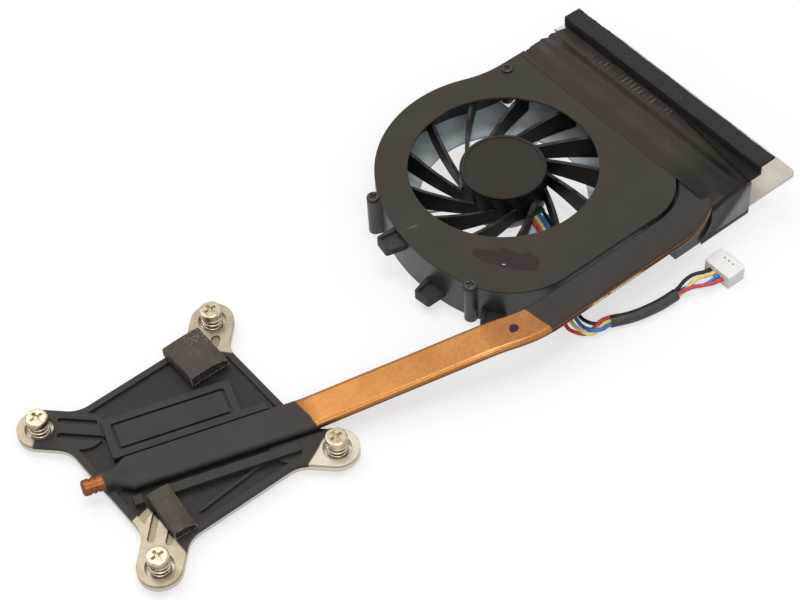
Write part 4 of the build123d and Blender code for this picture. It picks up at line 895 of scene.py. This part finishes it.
flap_end = [film.verts.new((v.co.x, FILM_Y0, v.co.z)) for v in flap]
for i in range(len(flap) - 1):
    film.faces.new((flap[i], flap_end[i], flap_end[i + 1], flap[i + 1]))
bmesh.ops.recalc_face_normals(film, faces=film.faces)
if sum(face.normal.z for face in film.faces) < 0:
    bmesh.ops.reverse_faces(film, faces=film.faces)
film_mesh = made_mesh("outlet_film", film)
film_mesh.shade_smooth()
film_mesh.materials.append(film_finish)
film_piece = put("outlet_film", film_mesh)
skin = film_piece.modifiers.new("skin", "SOLIDIFY")
skin.thickness = FILM_THICK * MM
skin.offset = 1.0
stand_for(film_piece, "sealing_film")

# Foam gasket: a strip of black sponge sheet folded in a Z, its foot stuck on the film and its top
# reaching out past the fins. It is cut by hand, so its edges are rough, and the foot tapers to
# nothing.
GASKET_X0, GASKET_X1, GASKET_Y0, GASKET_Y1 = 134.55, 139.15, -28.75, 35.3
GASKET_FOOT, GASKET_TOP, GASKET_SHEET, GASKET_CORNER = 10.6, 13.5, 0.6, 0.15
GASKET_FOOT_X, GASKET_FOOT_Y, GASKET_SHARP = 131.45, -1.75, 50
RUN_STEPS, TOP_STEPS, FOOT_STEPS = 190, 8, 40
SPONGE_SKIN, SPONGE_SKIN_PALE = (0.016, 0.0153, 0.0143), (0.032, 0.0305, 0.0285)
SPONGE_PORES, SPONGE_FLECKS = (0.008, 0.0078, 0.0075), (0.3, 0.29, 0.28)
SPONGE_HOLLOW_AND_SHADE, SPONGE_CUT_AND_SHADE = (0.001, 0.001, 0.001), (0.006, 0.006, 0.0056)
sponge, shader, spot = finish("gasket_sponge", Roughness=0.8, Specular_IOR_Level=0.3)
cells = spot.cells(FOAM_CELLS)
pores = spot.noise(0.0005)
top_face = spot.normal().axis("Z").fade(0.5, 0.8) * spot.axis("Z").fade(0.0125, 0.013)
skin_tone = pores.fade(0.3, 0.7).mix(SPONGE_SKIN, SPONGE_SKIN_PALE)
skin_tone = (spot.noise(0.00045, 2.0).fade(0.66, 0.74) * 0.7).mix(skin_tone, SPONGE_PORES)
# Faces other than the top take the dark cut-foam tone: the foam's colour on the cut ends, painted
# shade on the riser and underside.
tone = top_face.mix(cells.fade(0.1, 0.6).mix(SPONGE_HOLLOW_AND_SHADE, SPONGE_CUT_AND_SHADE), skin_tone)
(spot.noise(0.0008, 2.0).fade(0.75, 0.79) * 0.4).mix(tone, SPONGE_FLECKS).into(shader, "Base Color")
dents(spot, shader, 0.6, 0.00012, cells * 0.6 + pores * 0.5, spot.normal())

strip = bmesh.new()
under = GASKET_TOP - GASKET_SHEET
top_run = GASKET_X0 - GASKET_X1 + 2 * GASKET_CORNER
section = [(GASKET_X0, GASKET_FOOT), (GASKET_X0 + GASKET_SHEET, GASKET_FOOT),
           (GASKET_X0 + GASKET_SHEET, under), (GASKET_X1, under),
           (GASKET_X1, GASKET_TOP - GASKET_CORNER)]
section += [(GASKET_X1 - GASKET_CORNER + top_run * i / TOP_STEPS, GASKET_TOP)
            for i in range(TOP_STEPS + 1)]
section += [(GASKET_X0, GASKET_TOP - GASKET_CORNER), (GASKET_X0, (GASKET_FOOT + under) / 2)]
rings = []
for step in range(RUN_STEPS + 1):
    along = GASKET_Y0 + (GASKET_Y1 - GASKET_Y0) * step / RUN_STEPS
    wave = 0.06 * math.sin(0.35 * along) + 0.04 * math.sin(1.3 * along + 1.0)
    wave += 0.03 * math.sin(4.1 * along)
    ring = []
    for x, z in section:
        lift = (z - GASKET_FOOT) / (GASKET_TOP - GASKET_FOOT)
        cut = max(0.0, 0.2 * math.sin(2.6 * x) * lift)
        end_cut = {0: cut, RUN_STEPS: -cut}.get(step, 0.0)
        dip = 0.05 * lift * math.sin(0.7 * along + 0.8 * x) ** 2
        ring.append(strip.verts.new((x + (wave - 0.1) * lift, along + end_cut, z - dip)))
    rings.append(ring)
foot_top = GASKET_FOOT + GASKET_SHEET
foot_rings = []
for step in range(FOOT_STEPS + 1):
    along = GASKET_Y0 + (GASKET_FOOT_Y - GASKET_Y0) * step / FOOT_STEPS
    reach = (GASKET_X0 - GASKET_FOOT_X) * (1 - 0.98 * step / FOOT_STEPS)
    ragged = 0.07 * math.sin(2.9 * along) * min(1.0, reach)
    foot_rings.append([strip.verts.new((x, along, z)) for x, z in (
        (GASKET_X0, GASKET_FOOT), (GASKET_X0, foot_top),
        (GASKET_X0 - reach * 0.9 + ragged, foot_top), (GASKET_X0 - reach + ragged, GASKET_FOOT))])
for run_rings in (rings, foot_rings):
    join_rings(strip, run_rings)
    strip.faces.new(run_rings[0])
    strip.faces.new(run_rings[-1][::-1])
bmesh.ops.recalc_face_normals(strip, faces=strip.faces)
gasket_mesh = made_mesh("sponge_strip", strip)
gasket_mesh.materials.append(sponge)
soften(gasket_mesh, GASKET_SHARP)
gasket = put("sponge_strip", gasket_mesh)
stand_for(gasket, "foam_gasket")

# Wire sleeve and plug: a short length of soft black tube on the wires, and a small moulded nylon
# plug with four ways and three gauge dots on its top.
PLUG_DOTS = [(FAN_AXIS.x + 22.6 * MM, FAN_AXIS.y + y * MM) for y in (-49.89, -48.65, -47.41)]
sleeve_finish, shader, spot = finish("sleeve_tube", Roughness=0.42)
haze = spot.noise(0.002, 4.0).fade(0.35, 0.75)
haze.mix((0.03, 0.0285, 0.027), (0.046, 0.044, 0.042)).into(shader, "Base Color")
dents(spot, shader, 0.2, 0.00006, spot.noise(0.0008), rounded(spot, 0.0001))
dress(sleeve_finish, "wire_sleeve")

nylon, shader, spot = finish("plug_nylon", Roughness=0.36, Subsurface_Weight=0.25,
                             Subsurface_Radius=(0.8, 0.7, 0.5), Subsurface_Scale=0.0008)
x, y = spot.axis("X"), spot.axis("Y")
milk = spot.noise(0.002, 4.0)
shell = milk.fade(0.35, 0.75).mix((0.94, 0.94, 0.91), (0.89, 0.88, 0.83))
dot, *others = (squared_reach(x, y, middle).fade(0.06e-6, 0.035e-6) for middle in PLUG_DOTS)
dots = dot.most(*others)
top_face = spot.normal().axis("Z").fade(0.6, 0.8)
(dots * top_face).mix(shell, (0.14, 0.13, 0.12)).into(shader, "Base Color")
dents(spot, shader, 0.15, 0.00004, milk + dots * -2.0, rounded(spot, 0.0002))
dress(nylon, "connector_housing")
